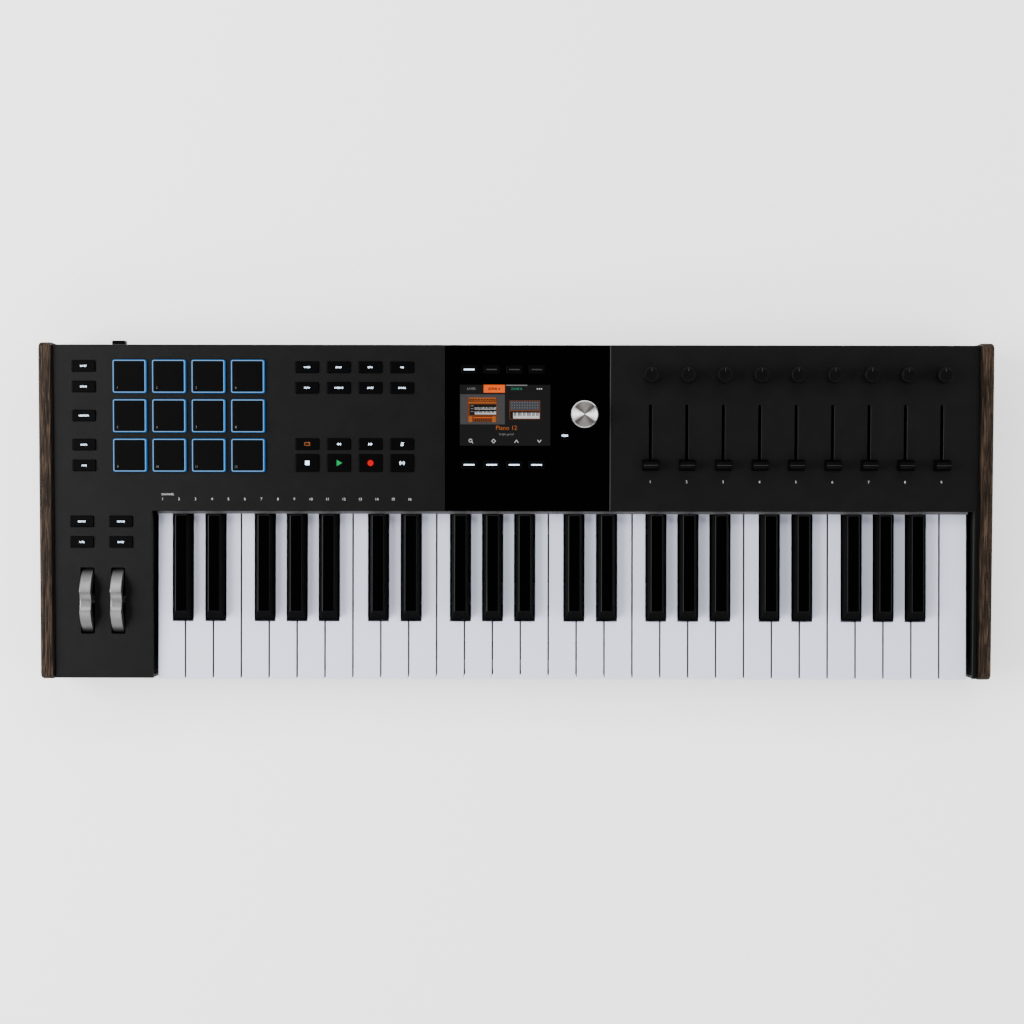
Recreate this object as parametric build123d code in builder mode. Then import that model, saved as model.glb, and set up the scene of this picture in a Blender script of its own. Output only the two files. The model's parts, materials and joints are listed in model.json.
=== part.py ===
"""A 49-note keyboard controller with wooden end cheeks, in millimetres.

+X runs along the keys to the right, +Y away from the player, +Z up. The origin is the
centre of the outline, on the surface that the feet stand on. The control panel lies in
a plane that rises gently towards the rear: its own coordinates are u = X along the
panel, v up the slope and w square to it, with w = 0 on the panel's upper surface.
"""

import os
from math import cos, radians, sin

from build123d import *

os.makedirs("parts", exist_ok=True)

# ---- Outline ----------------------------------------------------------------------
WIDTH = 800.0
DEPTH = 285.4
FRONT = -DEPTH / 2
REAR_WALL = 138.7
FOOT_HEIGHT = 4.0

# ---- Panel ------------------------------------------------------------------------
PANEL_TILT = 2.43
PANEL_HEIGHT = 57.0
PANEL_THICK = 3.0
PANEL_HALF = 388.6
PANEL_FRONT_EDGE = -0.8
PANEL_REAR_EDGE = 138.8
PANEL_NOSE = -141.8
KEY_WELL_LEFT = -305.6
KEY_WELL_RIGHT = 384.6
SKIRT = 2.5
MOVING_GAP = 0.4

# ---- Tray and cheeks --------------------------------------------------------------
TRAY_HALF = 389.8
TRAY_FRONT = -141.2
TRAY_WALL = 2.5
TRAY_FLOOR = FOOT_HEIGHT + TRAY_WALL
TRAY_LIP_TOP = 15.5
CHEEK_FRONT = -142.2
CHEEK_REAR = 140.5
CHEEK_BASE = 3.0
CHEEK_FRONT_TOP = 54.8
CHEEK_REAR_TOP = 66.6

# ---- Keys -------------------------------------------------------------------------
OCTAVE = 7
WHITE_COUNT = 29
WHITE_PITCH = 23.6
KEY_GAP = 1.2
KEYS_LEFT = -303.0
KEY_TOP = 46.0
KEY_UNDERSIDE = 30.0
KEY_LIP_BASE = 27.0
KEY_ROOF = 2.5
KEY_WALL = 1.8
PIVOT_Y = FRONT + 190.0
PIVOT_Z = 34.0
ROD_RADIUS = 2.0
KEY_REAR = PIVOT_Y + 5.7
KEY_CAVITY_REAR = PIVOT_Y - 7.3
BOSS_START = PIVOT_Y - 6.0
BOSS_INSET = 2.0
STRIKER_Y = -42.0
STRIKER_LENGTH = 4.0
BLACK_WIDTH = 15.2
BLACK_TOP_WIDTH = 10.6
BLACK_FRONT = -92.6
BLACK_TOP_FRONT = -85.0
BLACK_CAP_REAR = -3.3
BLACK_RISE = 11.5
BLACK_BODY_WIDTH = 13.6
BLACK_SHIFT = {0: -2.0, 1: 2.0, 3: -3.5, 4: 0.0, 5: 3.5}
WHITE_NAMES = ["c", "d", "e", "f", "g", "a", "b"]
BLACK_NAMES = {0: "cs", 1: "ds", 3: "fs", 4: "gs", 5: "as"}

# ---- Control positions on the panel, as (u, v) ------------------------------------
PAD_PITCH = 33.0
PAD_CENTRES = [(-323.9 + PAD_PITCH * i, 46.1 + PAD_PITCH * j) for i in range(4) for j in range(3)]
PAD_SIZE = 27.8
PAD_CORNER = 2.2
PAD_RISE = 2.6
PAD_DEPTH = 6.0

BUTTON = (19.2, 9.0)
SIDE_CENTRES = [(-362.4, v) for v in (37.4, 54.8, 79.2, 103.5, 120.7)]
OCTAVE_CENTRES = [(u, v) for u in (-364.7, -332.0) for v in (-26.9, -9.6)]
MODE_COLUMNS = [-175.2 + 26.5 * i for i in range(4)]
MODE_CENTRES = [(u, v) for u in MODE_COLUMNS for v in (102.7, 119.9)]
SMALL_TRANSPORT = [(u, 55.6) for u in MODE_COLUMNS]
LARGE_TRANSPORT = [(u, 39.8) for u in MODE_COLUMNS]
LARGE_BUTTON = (19.2, 14.2)
SCREEN_BUTTON = (13.4, 6.9)
SCREEN_CENTRES = [(-39.5 + 18.9 * i, v) for i in range(4) for v in (38.4, 118.2)]
BACK_CENTRE = (40.6, 63.0)
BACK_RADIUS = 3.9
BUTTON_RISE = 1.2
SCREEN_RISE = 0.3
BUTTON_CORNER = 1.0
BUTTON_DEPTH = 7.0
FLANGE = 1.0
FLANGE_THICK = 1.8

FASCIA_LEFT = -60.0
FASCIA_RIGHT = 79.1
FASCIA_THICK = 1.4
FASCIA_SINK = 0.6
SCREEN_CENTRE = (-9.4, 80.0)
SCREEN = (76.4, 51.0)

STRIP_COLUMNS = [112.6 + 30.55 * i for i in range(9)]
ENCODER_V = 113.6
ENCODER_BASE_RADIUS = 6.75
ENCODER_TOP_RADIUS = 6.2
ENCODER_RISE = 13.8
ENCODER_LIFT = 0.6
SHAFT_RADIUS = 3.0
RUNNING_GAP = 0.05
MAIN_CENTRE = (56.9, 80.9)
MAIN_RADIUS = 11.4
MAIN_RISE = 15.0
MAIN_LIFT = 0.9
MAIN_SHAFT_RADIUS = 3.5
PLUNGER_RADIUS = 2.0

SLOT_FRONT = 34.0
SLOT_REAR = 89.0
SLOT_WIDTH = 2.6
STEM = (1.2, 5.0)
FADER_REST = 38.4
FADER_BASE = (13.8, 9.6)
FADER_TOP = (13.0, 5.8)
FADER_LIFT = 0.8
FADER_RISE = 11.0

WHEEL_COLUMNS = {"pitch_wheel": -360.5, "mod_wheel": -334.8}
WHEEL_V = -76.4
WHEEL_RADIUS = 30.0
WHEEL_RISE = 13.0
WHEEL_WIDTH = 9.5
WHEEL_SLOT = (11.8, 56.0)
AXLE_RADIUS = 2.5
AXLE_W = WHEEL_RISE - WHEEL_RADIUS

# ---- Boards -----------------------------------------------------------------------
BOARD_THICK = 1.6
BOARD_W = -9.6
BODY_BASE_W = -9.4
BODY_TOP_W = -3.1
SWITCH_HEIGHT = 1.2
BOARDS = {
    "side": (-374.0, -350.0, 28.0, 128.0),
    "pads": (-346.0, -203.0, 28.0, 127.0),
    "modes": (-187.0, -84.0, 28.0, 127.0),
    "screen": (-56.0, 76.0, 28.0, 126.0),
    "strips": (102.0, 368.0, 28.0, 126.0),
    "octave": (-378.0, -318.0, -34.0, -2.0),
}
BOARD_POSTS = [(-362.4, 67.0), (-362.4, 91.0), (-343.0, 34.0), (-343.0, 122.0)]
BOARD_POSTS += [(-205.5, 34.0), (-205.5, 122.0), (-170.0, 79.0), (-100.0, 79.0)]
BOARD_POSTS += [(-52.0, 34.0), (-52.0, 122.0), (72.0, 34.0), (72.0, 122.0)]
BOARD_POSTS += [(105.0, 60.0), (365.0, 60.0), (-348.4, -5.0), (-348.4, -31.0)]
CASE_POSTS = [(-380.0, -132.0), (-313.0, -132.0), (-382.0, 62.0), (-195.0, 62.0)]
CASE_POSTS += [(95.0, 62.0), (377.0, 62.0), (-380.0, 131.0), (-180.0, 131.0)]
CASE_POSTS += [(-30.0, 131.0), (95.0, 131.0), (235.0, 131.0), (379.0, 131.0)]
KEYBED_SCREWS = [(x, -120.0) for x in (-290.0, -120.0, 40.0, 200.0, 368.0)]
CHEEK_SCREWS = [(y, 18.0) for y in (-110.0, 0.0, 110.0)]
SCREW_RADIUS = 1.5
HEAD_RADIUS = 3.0
HEAD_HEIGHT = 1.5
POST_RADIUS = 3.2

# ---- Rear sockets, by X position --------------------------------------------------
SOCKET_Z = 25.0
JACK_X = [-150.0, -125.0, -100.0, -75.0]
JACK_BORE = 3.25
JACK_SLEEVE = 4.6
JACK_NUT = 6.4
DIN_X = [-232.0, -206.0]
DIN_BORE = 6.9
DIN_SHELL = 8.6
USB_X = -275.0
USB_Z = 17.0
POWER_X = -334.75
POWER = (11.5, 8.4)
POWER_Z = 50.0
LOCK_SLOT = (330.0, 24.0)
MAIN_BOARD_Z = 12.5

panel = Plane(
    origin=(0, 0, PANEL_HEIGHT),
    x_dir=(1, 0, 0),
    z_dir=(0, -sin(radians(PANEL_TILT)), cos(radians(PANEL_TILT))),
)


def rectangle_between(left, right, low, high):
    """A rectangle in the open sketch, given by its four sides."""
    with Locations(((left + right) / 2, (low + high) / 2)):
        Rectangle(right - left, high - low)


def on_panel(u, v, w):
    """The row-frame point at panel coordinates u, v, w."""
    return panel.from_local_coords(Vector(u, v, w))


# ---- Top panel --------------------------------------------------------------------
CAP_HOLES = [
    (SIDE_CENTRES + OCTAVE_CENTRES + MODE_CENTRES + SMALL_TRANSPORT, BUTTON),
    (LARGE_TRANSPORT, LARGE_BUTTON),
    (SCREEN_CENTRES, SCREEN_BUTTON),
]

with BuildPart() as top_panel:
    # Screw posts reach down to the tray floor.
    with BuildSketch(Plane.XY.offset(TRAY_FLOOR)):
        with Locations(*CASE_POSTS):
            Circle(POST_RADIUS)
    extrude(amount=PANEL_HEIGHT + 20)
    split(bisect_by=panel.offset(-PANEL_THICK / 2), keep=Keep.BOTTOM)
    # The plate: a band behind the keys, a block left of them and a strip at the right.
    with BuildSketch(panel):
        rectangle_between(-PANEL_HALF, PANEL_HALF, PANEL_FRONT_EDGE, PANEL_REAR_EDGE)
        rectangle_between(-PANEL_HALF, KEY_WELL_LEFT, PANEL_NOSE, PANEL_FRONT_EDGE)
        rectangle_between(KEY_WELL_RIGHT, PANEL_HALF, PANEL_NOSE, PANEL_FRONT_EDGE)
    extrude(amount=-PANEL_THICK)
    top_edges = top_panel.faces().filter_by(lambda f: f.normal_at().dot(panel.z_dir) > 0.999)
    fillet(top_edges.sort_by(SortBy.AREA)[-1].outer_wire().edges(), 0.8)
    # Skirts hang down round the key well.
    with BuildSketch(panel.offset(-PANEL_THICK)):
        rectangle_between(KEY_WELL_LEFT - SKIRT, KEY_WELL_LEFT, PANEL_NOSE + 4, PANEL_FRONT_EDGE + SKIRT)
        rectangle_between(KEY_WELL_RIGHT, KEY_WELL_RIGHT + 1.5, PANEL_NOSE + 4, PANEL_FRONT_EDGE + SKIRT)
    extrude(amount=-25)
    with BuildSketch(panel.offset(-PANEL_THICK)):
        rectangle_between(KEY_WELL_LEFT, KEY_WELL_RIGHT, PANEL_FRONT_EDGE, PANEL_FRONT_EDGE + SKIRT)
    extrude(amount=-5.2)
    # Short posts carry the control boards.
    with BuildSketch(panel.offset(-PANEL_THICK)):
        with Locations(*BOARD_POSTS):
            Circle(2.0)
    extrude(amount=BOARD_W + PANEL_THICK)
    # The fascia lies in a shallow channel across the band.
    with BuildSketch(panel):
        rectangle_between(FASCIA_LEFT, FASCIA_RIGHT, PANEL_FRONT_EDGE, PANEL_REAR_EDGE)
    extrude(amount=-(FASCIA_SINK + FASCIA_THICK), mode=Mode.SUBTRACT)
    # Openings for the controls.
    with BuildSketch(panel):
        with Locations(*PAD_CENTRES):
            RectangleRounded(PAD_SIZE + 2 * MOVING_GAP, PAD_SIZE + 2 * MOVING_GAP, PAD_CORNER)
        for centres, (length, width) in CAP_HOLES:
            with Locations(*centres):
                RectangleRounded(length + 2 * MOVING_GAP, width + 2 * MOVING_GAP, BUTTON_CORNER)
        with Locations(BACK_CENTRE):
            Circle(BACK_RADIUS + MOVING_GAP)
        with Locations(MAIN_CENTRE):
            Circle(MAIN_SHAFT_RADIUS + 0.6)
        with Locations(*[(u, ENCODER_V) for u in STRIP_COLUMNS]):
            Circle(SHAFT_RADIUS + 0.6)
        with Locations(*[(u, (SLOT_FRONT + SLOT_REAR) / 2) for u in STRIP_COLUMNS]):
            SlotOverall(SLOT_REAR - SLOT_FRONT, SLOT_WIDTH, rotation=90)
        with Locations(*[(u, WHEEL_V) for u in WHEEL_COLUMNS.values()]):
            RectangleRounded(WHEEL_SLOT[0], WHEEL_SLOT[1], 1.2)
        with Locations(SCREEN_CENTRE):
            Rectangle(SCREEN[0] + 0.4, SCREEN[1] + 0.4)
    extrude(amount=-PANEL_THICK, mode=Mode.SUBTRACT)
    # Fine chamfers along the channel and round the fader slots.
    upper_edges = top_panel.edges().filter_by(lambda e: abs(panel.to_local_coords(e.center()).Z) < 0.01)
    channel_edges = upper_edges.filter_by(
        lambda e: min(abs(e.center().X - FASCIA_LEFT), abs(e.center().X - FASCIA_RIGHT)) < 0.01
    )
    chamfer(channel_edges, 0.4)
    upper_edges = top_panel.edges().filter_by(lambda e: abs(panel.to_local_coords(e.center()).Z) < 0.01)
    slot_edges = upper_edges.filter_by(lambda e: e.center().X > STRIP_COLUMNS[0] - SLOT_WIDTH)
    slot_edges = slot_edges.filter_by(lambda e: SLOT_FRONT - 1 < e.center().Y < SLOT_REAR + 1)
    chamfer(slot_edges.filter_by(lambda e: e.center().X < STRIP_COLUMNS[-1] + SLOT_WIDTH), 0.35)
    # Pilot holes for the case screws.
    with BuildSketch(Plane.XY.offset(TRAY_FLOOR)):
        with Locations(*CASE_POSTS):
            Circle(SCREW_RADIUS)
    extrude(amount=14, mode=Mode.SUBTRACT)
top_panel.part.label = "top_panel"
export_step(top_panel.part, "parts/top_panel.step")

# ---- Display fascia ---------------------------------------------------------------
with BuildPart() as display_fascia:
    with BuildSketch(panel.offset(-FASCIA_SINK)):
        rectangle_between(
            FASCIA_LEFT + 0.1, FASCIA_RIGHT - 0.1, PANEL_FRONT_EDGE + 0.6, PANEL_REAR_EDGE - 0.6
        )
        with Locations(SCREEN_CENTRE):
            Rectangle(SCREEN[0] + 0.1, SCREEN[1] + 0.1, mode=Mode.SUBTRACT)
        with Locations(*SCREEN_CENTRES):
            RectangleRounded(
                SCREEN_BUTTON[0] + 2 * MOVING_GAP,
                SCREEN_BUTTON[1] + 2 * MOVING_GAP,
                BUTTON_CORNER,
                mode=Mode.SUBTRACT,
            )
        with Locations(BACK_CENTRE):
            Circle(BACK_RADIUS + MOVING_GAP, mode=Mode.SUBTRACT)
        with Locations(MAIN_CENTRE):
            Circle(MAIN_SHAFT_RADIUS + 0.6, mode=Mode.SUBTRACT)
    extrude(amount=-FASCIA_THICK)
display_fascia.part.label = "display_fascia"
export_step(display_fascia.part, "parts/display_fascia.step")

# ---- Display module: a glass block through the panel and the body behind it -------
with BuildPart() as lcd_module:
    with BuildSketch(panel.offset(-FASCIA_SINK - 0.05)):
        with Locations(SCREEN_CENTRE):
            Rectangle(SCREEN[0] - 0.1, SCREEN[1] - 0.1)
    extrude(amount=-(BODY_TOP_W * -1 - FASCIA_SINK - 0.05))
    with BuildSketch(panel.offset(BODY_TOP_W)):
        with Locations(SCREEN_CENTRE):
            Rectangle(SCREEN[0] + 4, SCREEN[1] + 6)
    extrude(amount=-4)
lcd_module.part.label = "lcd_module"
export_step(lcd_module.part, "parts/lcd_module.step")

# ---- Bottom tray ------------------------------------------------------------------
REAR_OPENINGS = Plane(origin=(0, REAR_WALL, 0), x_dir=(1, 0, 0), z_dir=(0, -1, 0))

with BuildPart() as bottom_tray:
    with BuildSketch(Plane.XY.offset(FOOT_HEIGHT)):
        rectangle_between(-TRAY_HALF, TRAY_HALF, TRAY_FRONT, REAR_WALL)
    extrude(amount=PANEL_HEIGHT + 10)
    with BuildSketch(Plane.XY.offset(TRAY_FLOOR)):
        rectangle_between(
            -TRAY_HALF + TRAY_WALL, TRAY_HALF - TRAY_WALL, TRAY_FRONT + TRAY_WALL, REAR_WALL - TRAY_WALL
        )
    extrude(amount=PANEL_HEIGHT + 10, mode=Mode.SUBTRACT)
    split(bisect_by=panel.offset(-PANEL_THICK), keep=Keep.BOTTOM)
    # Low front lip under the keys.
    with BuildSketch(Plane.XY.offset(TRAY_LIP_TOP)):
        rectangle_between(KEY_WELL_LEFT, KEY_WELL_RIGHT, TRAY_FRONT - 5, TRAY_FRONT + TRAY_WALL + 1)
    extrude(amount=PANEL_HEIGHT, mode=Mode.SUBTRACT)
    # Socket openings in the rear wall.
    with BuildSketch(REAR_OPENINGS):
        with Locations(*[(x, SOCKET_Z) for x in JACK_X]):
            Circle(JACK_SLEEVE + 0.1)
        with Locations(*[(x, SOCKET_Z) for x in DIN_X]):
            Circle(DIN_SHELL + 0.1)
        with Locations((USB_X, USB_Z)):
            RectangleRounded(9.6, 3.9, 1.8)
        with Locations((POWER_X, POWER_Z)):
            RectangleRounded(POWER[0] + 2 * MOVING_GAP, POWER[1] + 2 * MOVING_GAP, 1.0)
        with Locations(LOCK_SLOT):
            RectangleRounded(7.0, 3.0, 0.6)
    extrude(amount=TRAY_WALL, mode=Mode.SUBTRACT)
    # Clearance holes and head recesses for the screws.
    with BuildSketch(Plane.XY.offset(FOOT_HEIGHT)):
        with Locations(*(CASE_POSTS + KEYBED_SCREWS)):
            Circle(SCREW_RADIUS + 0.2)
    extrude(amount=TRAY_WALL, mode=Mode.SUBTRACT)
    with BuildSketch(Plane.XY.offset(FOOT_HEIGHT)):
        with Locations(*(CASE_POSTS + KEYBED_SCREWS)):
            Circle(HEAD_RADIUS + 0.2)
    extrude(amount=HEAD_HEIGHT, mode=Mode.SUBTRACT)
    with BuildSketch(Plane.YZ.offset(-TRAY_HALF)):
        with Locations(*CHEEK_SCREWS):
            Circle(SCREW_RADIUS + 0.2)
    extrude(amount=2 * TRAY_HALF, mode=Mode.SUBTRACT)
bottom_tray.part.label = "bottom_tray"
export_step(bottom_tray.part, "parts/bottom_tray.step")

# ---- Wooden end cheeks ------------------------------------------------------------
for node, side in (("left_end_cheek", -1), ("right_end_cheek", 1)):
    with BuildPart() as cheek:
        with BuildSketch(Plane.YZ.offset(side * TRAY_HALF)):
            with BuildLine():
                corners = [(CHEEK_FRONT, CHEEK_BASE), (CHEEK_FRONT, CHEEK_FRONT_TOP)]
                corners += [(CHEEK_REAR, CHEEK_REAR_TOP), (CHEEK_REAR, CHEEK_BASE)]
                Polyline(*corners, close=True)
            make_face()
            fillet(vertices(), 5.0)
        extrude(amount=side * (WIDTH / 2 - TRAY_HALF))
        fillet(cheek.faces().sort_by(Axis.X)[0 if side < 0 else -1].edges(), 2.6)
        with BuildSketch(Plane.YZ.offset(side * TRAY_HALF)):
            with Locations(*CHEEK_SCREWS):
                Circle(SCREW_RADIUS)
        extrude(amount=side * 8, mode=Mode.SUBTRACT)
    cheek.part.label = node
    export_step(cheek.part, f"parts/{node}.step")


# ---- Keys -------------------------------------------------------------------------
def black_centre(white_index):
    """Centre line of the black key standing at the right edge of this white key."""
    gap = KEYS_LEFT + WHITE_PITCH * (white_index + 1)
    return gap + BLACK_SHIFT[white_index % OCTAVE]


def has_black(white_index):
    """True where a black key stands at the right edge of this white key."""
    return 0 <= white_index < WHITE_COUNT - 1 and white_index % OCTAVE in BLACK_SHIFT


def tail_sides(white_index):
    """Left and right sides of a white key's tail, between its black neighbours."""
    left = KEYS_LEFT + WHITE_PITCH * white_index + KEY_GAP / 2
    right = left + WHITE_PITCH - KEY_GAP
    if has_black(white_index - 1):
        left = black_centre(white_index - 1) + BLACK_WIDTH / 2 + KEY_GAP
    if has_black(white_index):
        right = black_centre(white_index) - BLACK_WIDTH / 2 - KEY_GAP
    return left, right


def hinge_cuts(tail_left, tail_right):
    """The two side steps and the rod hole that shape a key's hinge boss."""
    with BuildPart() as cuts:
        with BuildSketch(Plane.XY.offset(KEY_UNDERSIDE - 1)):
            rectangle_between(tail_left - 1, tail_left + BOSS_INSET, BOSS_START, KEY_REAR + 1)
            rectangle_between(tail_right - BOSS_INSET, tail_right + 1, BOSS_START, KEY_REAR + 1)
        extrude(amount=KEY_TOP - KEY_UNDERSIDE + 2)
        with BuildSketch(Plane.YZ.offset(tail_left - 1)):
            with Locations((PIVOT_Y, PIVOT_Z)):
                Circle(ROD_RADIUS + RUNNING_GAP)
        extrude(amount=tail_right - tail_left + 2)
    return cuts.part


def white_key(white_index):
    """A hollow white key: full-width head, narrower tail, striker web and hinge boss."""
    head_left = KEYS_LEFT + WHITE_PITCH * white_index + KEY_GAP / 2
    head_right = head_left + WHITE_PITCH - KEY_GAP
    tail_left, tail_right = tail_sides(white_index)
    head_rear = BLACK_FRONT - KEY_GAP
    boss_cuts = hinge_cuts(tail_left, tail_right)
    with BuildPart() as key:
        with BuildSketch(Plane.XY.offset(KEY_TOP)):
            rectangle_between(head_left, head_right, FRONT, head_rear)
            rectangle_between(tail_left, tail_right, head_rear, KEY_REAR)
        extrude(amount=KEY_UNDERSIDE - KEY_TOP)
        with BuildSketch(Plane.XY.offset(KEY_UNDERSIDE)):
            rectangle_between(head_left, head_right, FRONT, FRONT + KEY_WALL)
        extrude(amount=KEY_LIP_BASE - KEY_UNDERSIDE)
        fillet(key.edges().filter_by(Axis.Z).group_by(Axis.Y)[0], 1.4)
        fillet(key.faces().sort_by(Axis.Z)[-1].outer_wire().edges(), 0.6)
        with BuildSketch(Plane.XY.offset(KEY_UNDERSIDE)):
            cavity_left = tail_left + KEY_WALL
            cavity_right = tail_right - KEY_WALL
            rectangle_between(
                head_left + KEY_WALL, head_right - KEY_WALL, FRONT + KEY_WALL, head_rear - KEY_WALL
            )
            rectangle_between(cavity_left, cavity_right, head_rear - 2 * KEY_WALL, STRIKER_Y)
            rectangle_between(cavity_left, cavity_right, STRIKER_Y + STRIKER_LENGTH, KEY_CAVITY_REAR)
        extrude(amount=KEY_TOP - KEY_ROOF - KEY_UNDERSIDE, mode=Mode.SUBTRACT)
        add(boss_cuts, mode=Mode.SUBTRACT)
    return key.part


def black_key(white_index):
    """A hollow black key: tapered cap with a sloped front, on a body that runs to the rod."""
    centre = black_centre(white_index)
    body_left = centre - BLACK_BODY_WIDTH / 2
    body_right = centre + BLACK_BODY_WIDTH / 2
    boss_cuts = hinge_cuts(body_left, body_right)
    with BuildPart() as key:
        with BuildSketch(Plane.XY.offset(KEY_TOP - 1)):
            rectangle_between(centre - BLACK_WIDTH / 2, centre + BLACK_WIDTH / 2, BLACK_FRONT, BLACK_CAP_REAR)
        with BuildSketch(Plane.XY.offset(KEY_TOP + BLACK_RISE)):
            rectangle_between(
                centre - BLACK_TOP_WIDTH / 2, centre + BLACK_TOP_WIDTH / 2, BLACK_TOP_FRONT, BLACK_CAP_REAR
            )
        loft()
        top_face = key.faces().sort_by(Axis.Z)[-1]
        fillet(top_face.edges(), 1.2)
        with BuildSketch(Plane.XY.offset(KEY_UNDERSIDE)):
            rectangle_between(body_left, body_right, BLACK_FRONT + 0.5, KEY_REAR)
        extrude(amount=KEY_TOP - KEY_UNDERSIDE)
        with BuildSketch(Plane.XY.offset(KEY_UNDERSIDE)):
            cavity_left = body_left + KEY_WALL
            cavity_right = body_right - KEY_WALL
            rectangle_between(cavity_left, cavity_right, BLACK_FRONT + 3, STRIKER_Y)
            rectangle_between(cavity_left, cavity_right, STRIKER_Y + STRIKER_LENGTH, KEY_CAVITY_REAR)
        extrude(amount=KEY_TOP - KEY_ROOF - KEY_UNDERSIDE, mode=Mode.SUBTRACT)
        add(boss_cuts, mode=Mode.SUBTRACT)
    return key.part


for name_index, name in enumerate(WHITE_NAMES):
    white_shells = [white_key(i) for i in range(name_index, WHITE_COUNT, OCTAVE)]
    with BuildPart() as white_keys:
        add(white_shells)
    white_keys.part.label = f"white_keys_{name}"
    export_step(white_keys.part, f"parts/white_keys_{name}.step")

for name_index, name in BLACK_NAMES.items():
    black_shells = [black_key(i) for i in range(name_index, WHITE_COUNT - 1, OCTAVE)]
    with BuildPart() as black_keys:
        add(black_shells)
    black_keys.part.label = f"black_keys_{name}"
    export_step(black_keys.part, f"parts/black_keys_{name}.step")

KEY_CENTRES = [sum(tail_sides(i)) / 2 for i in range(WHITE_COUNT)]
KEY_CENTRES += [black_centre(i) for i in range(WHITE_COUNT) if has_black(i)]
KEYS_RIGHT = KEYS_LEFT + WHITE_PITCH * WHITE_COUNT

# ---- Keybed: folded sheet base with rails, board ribs and rod fingers ---------------
KEYBED_SHEET = 1.2
KEYBED_TOP = TRAY_FLOOR + KEYBED_SHEET
KEYBED_FRONT = -138.0
KEYBED_REAR = PIVOT_Y + 10
FRONT_RAIL = (-128.0, -112.0, 18.0)
REAR_RAIL = (-92.0, -80.0, 20.4)
BOARD_RIBS = [(-62.0, -60.5), (-22.0, -20.5)]
BOARD_BASE = 18.0
FINGER_THICK = 2.0
FINGER_TOP = PIVOT_Z + 5.0
finger_x = [KEYS_LEFT - 1.6, KEYS_RIGHT - 0.9]
for index in range(WHITE_COUNT - 1):
    if not has_black(index):
        finger_x.append(KEYS_LEFT + WHITE_PITCH * (index + 1) - FINGER_THICK / 2)

with BuildPart() as keybed_frame:
    with BuildSketch(Plane.YZ.offset(KEYS_LEFT)):
        rectangle_between(KEYBED_FRONT, KEYBED_REAR, TRAY_FLOOR, KEYBED_TOP)
        for rail_front, rail_rear, rail_top in (FRONT_RAIL, REAR_RAIL):
            rectangle_between(rail_front, rail_rear, TRAY_FLOOR, rail_top)
        for rib_front, rib_rear in BOARD_RIBS:
            rectangle_between(rib_front, rib_rear, TRAY_FLOOR, BOARD_BASE)
    extrude(amount=KEYS_RIGHT - KEYS_LEFT)
    with BuildSketch(Plane.YZ.offset(KEYS_LEFT)):
        for rail_front, rail_rear, rail_top in (FRONT_RAIL, REAR_RAIL):
            rectangle_between(rail_front + 1.5, rail_rear - 1.5, KEYBED_TOP, rail_top - 1.5)
    extrude(amount=KEYS_RIGHT - KEYS_LEFT, mode=Mode.SUBTRACT)
    for x in finger_x:
        with BuildSketch(Plane.YZ.offset(x)):
            rectangle_between(PIVOT_Y - 5, PIVOT_Y + 5, TRAY_FLOOR, FINGER_TOP)
        extrude(amount=FINGER_THICK)
    with BuildSketch(Plane.YZ.offset(KEYS_LEFT - 5)):
        with Locations((PIVOT_Y, PIVOT_Z)):
            Circle(ROD_RADIUS + 0.02)
    extrude(amount=KEYS_RIGHT - KEYS_LEFT + 10, mode=Mode.SUBTRACT)
    with BuildSketch(Plane.XY.offset(TRAY_FLOOR)):
        with Locations(*KEYBED_SCREWS):
            Circle(SCREW_RADIUS)
    extrude(amount=KEYBED_SHEET, mode=Mode.SUBTRACT)
keybed_frame.part.label = "keybed_frame"
export_step(keybed_frame.part, "parts/keybed_frame.step")

with BuildPart() as key_pivot_rod:
    with BuildSketch(Plane.YZ.offset(finger_x[0] - 0.4)):
        with Locations((PIVOT_Y, PIVOT_Z)):
            Circle(ROD_RADIUS)
    extrude(amount=finger_x[1] + FINGER_THICK - finger_x[0] + 0.8)
key_pivot_rod.part.label = "key_pivot_rod"
export_step(key_pivot_rod.part, "parts/key_pivot_rod.step")

# ---- Felts: dust strip over the keys and the two strips that stop them --------------
STOP_FELT = 2.0
DUST_FELT = (-2.9, 1.6, KEY_TOP + 0.35, KEY_TOP + 2.6)
with BuildPart() as key_felts:
    with BuildSketch(Plane.YZ.offset(KEYS_LEFT)):
        rectangle_between(*DUST_FELT)
        rectangle_between(FRONT_RAIL[0], FRONT_RAIL[1], FRONT_RAIL[2], FRONT_RAIL[2] + STOP_FELT)
        rectangle_between(REAR_RAIL[0] + 1, REAR_RAIL[1] - 1, REAR_RAIL[2], REAR_RAIL[2] + STOP_FELT)
    extrude(amount=KEYS_RIGHT - KEYS_LEFT)
key_felts.part.label = "key_felts"
export_step(key_felts.part, "parts/key_felts.step")

# ---- Key springs: one bent leaf from the keybed to each key's roof -------------------
LEAF_WIDTH = 4.0
with BuildPart() as key_springs:
    for x in KEY_CENTRES:
        with BuildSketch(Plane.YZ.offset(x - LEAF_WIDTH / 2)):
            with BuildLine():
                leaf = [(32.0, KEYBED_TOP), (32.0, KEYBED_TOP + 0.5), (22.3, KEYBED_TOP + 0.5)]
                leaf += [(3.6, 43.2), (3.2, 42.9), (22.0, KEYBED_TOP)]
                Polyline(*leaf, close=True)
            make_face()
        extrude(amount=LEAF_WIDTH)
key_springs.part.label = "key_springs"
export_step(key_springs.part, "parts/key_springs.step")

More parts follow.
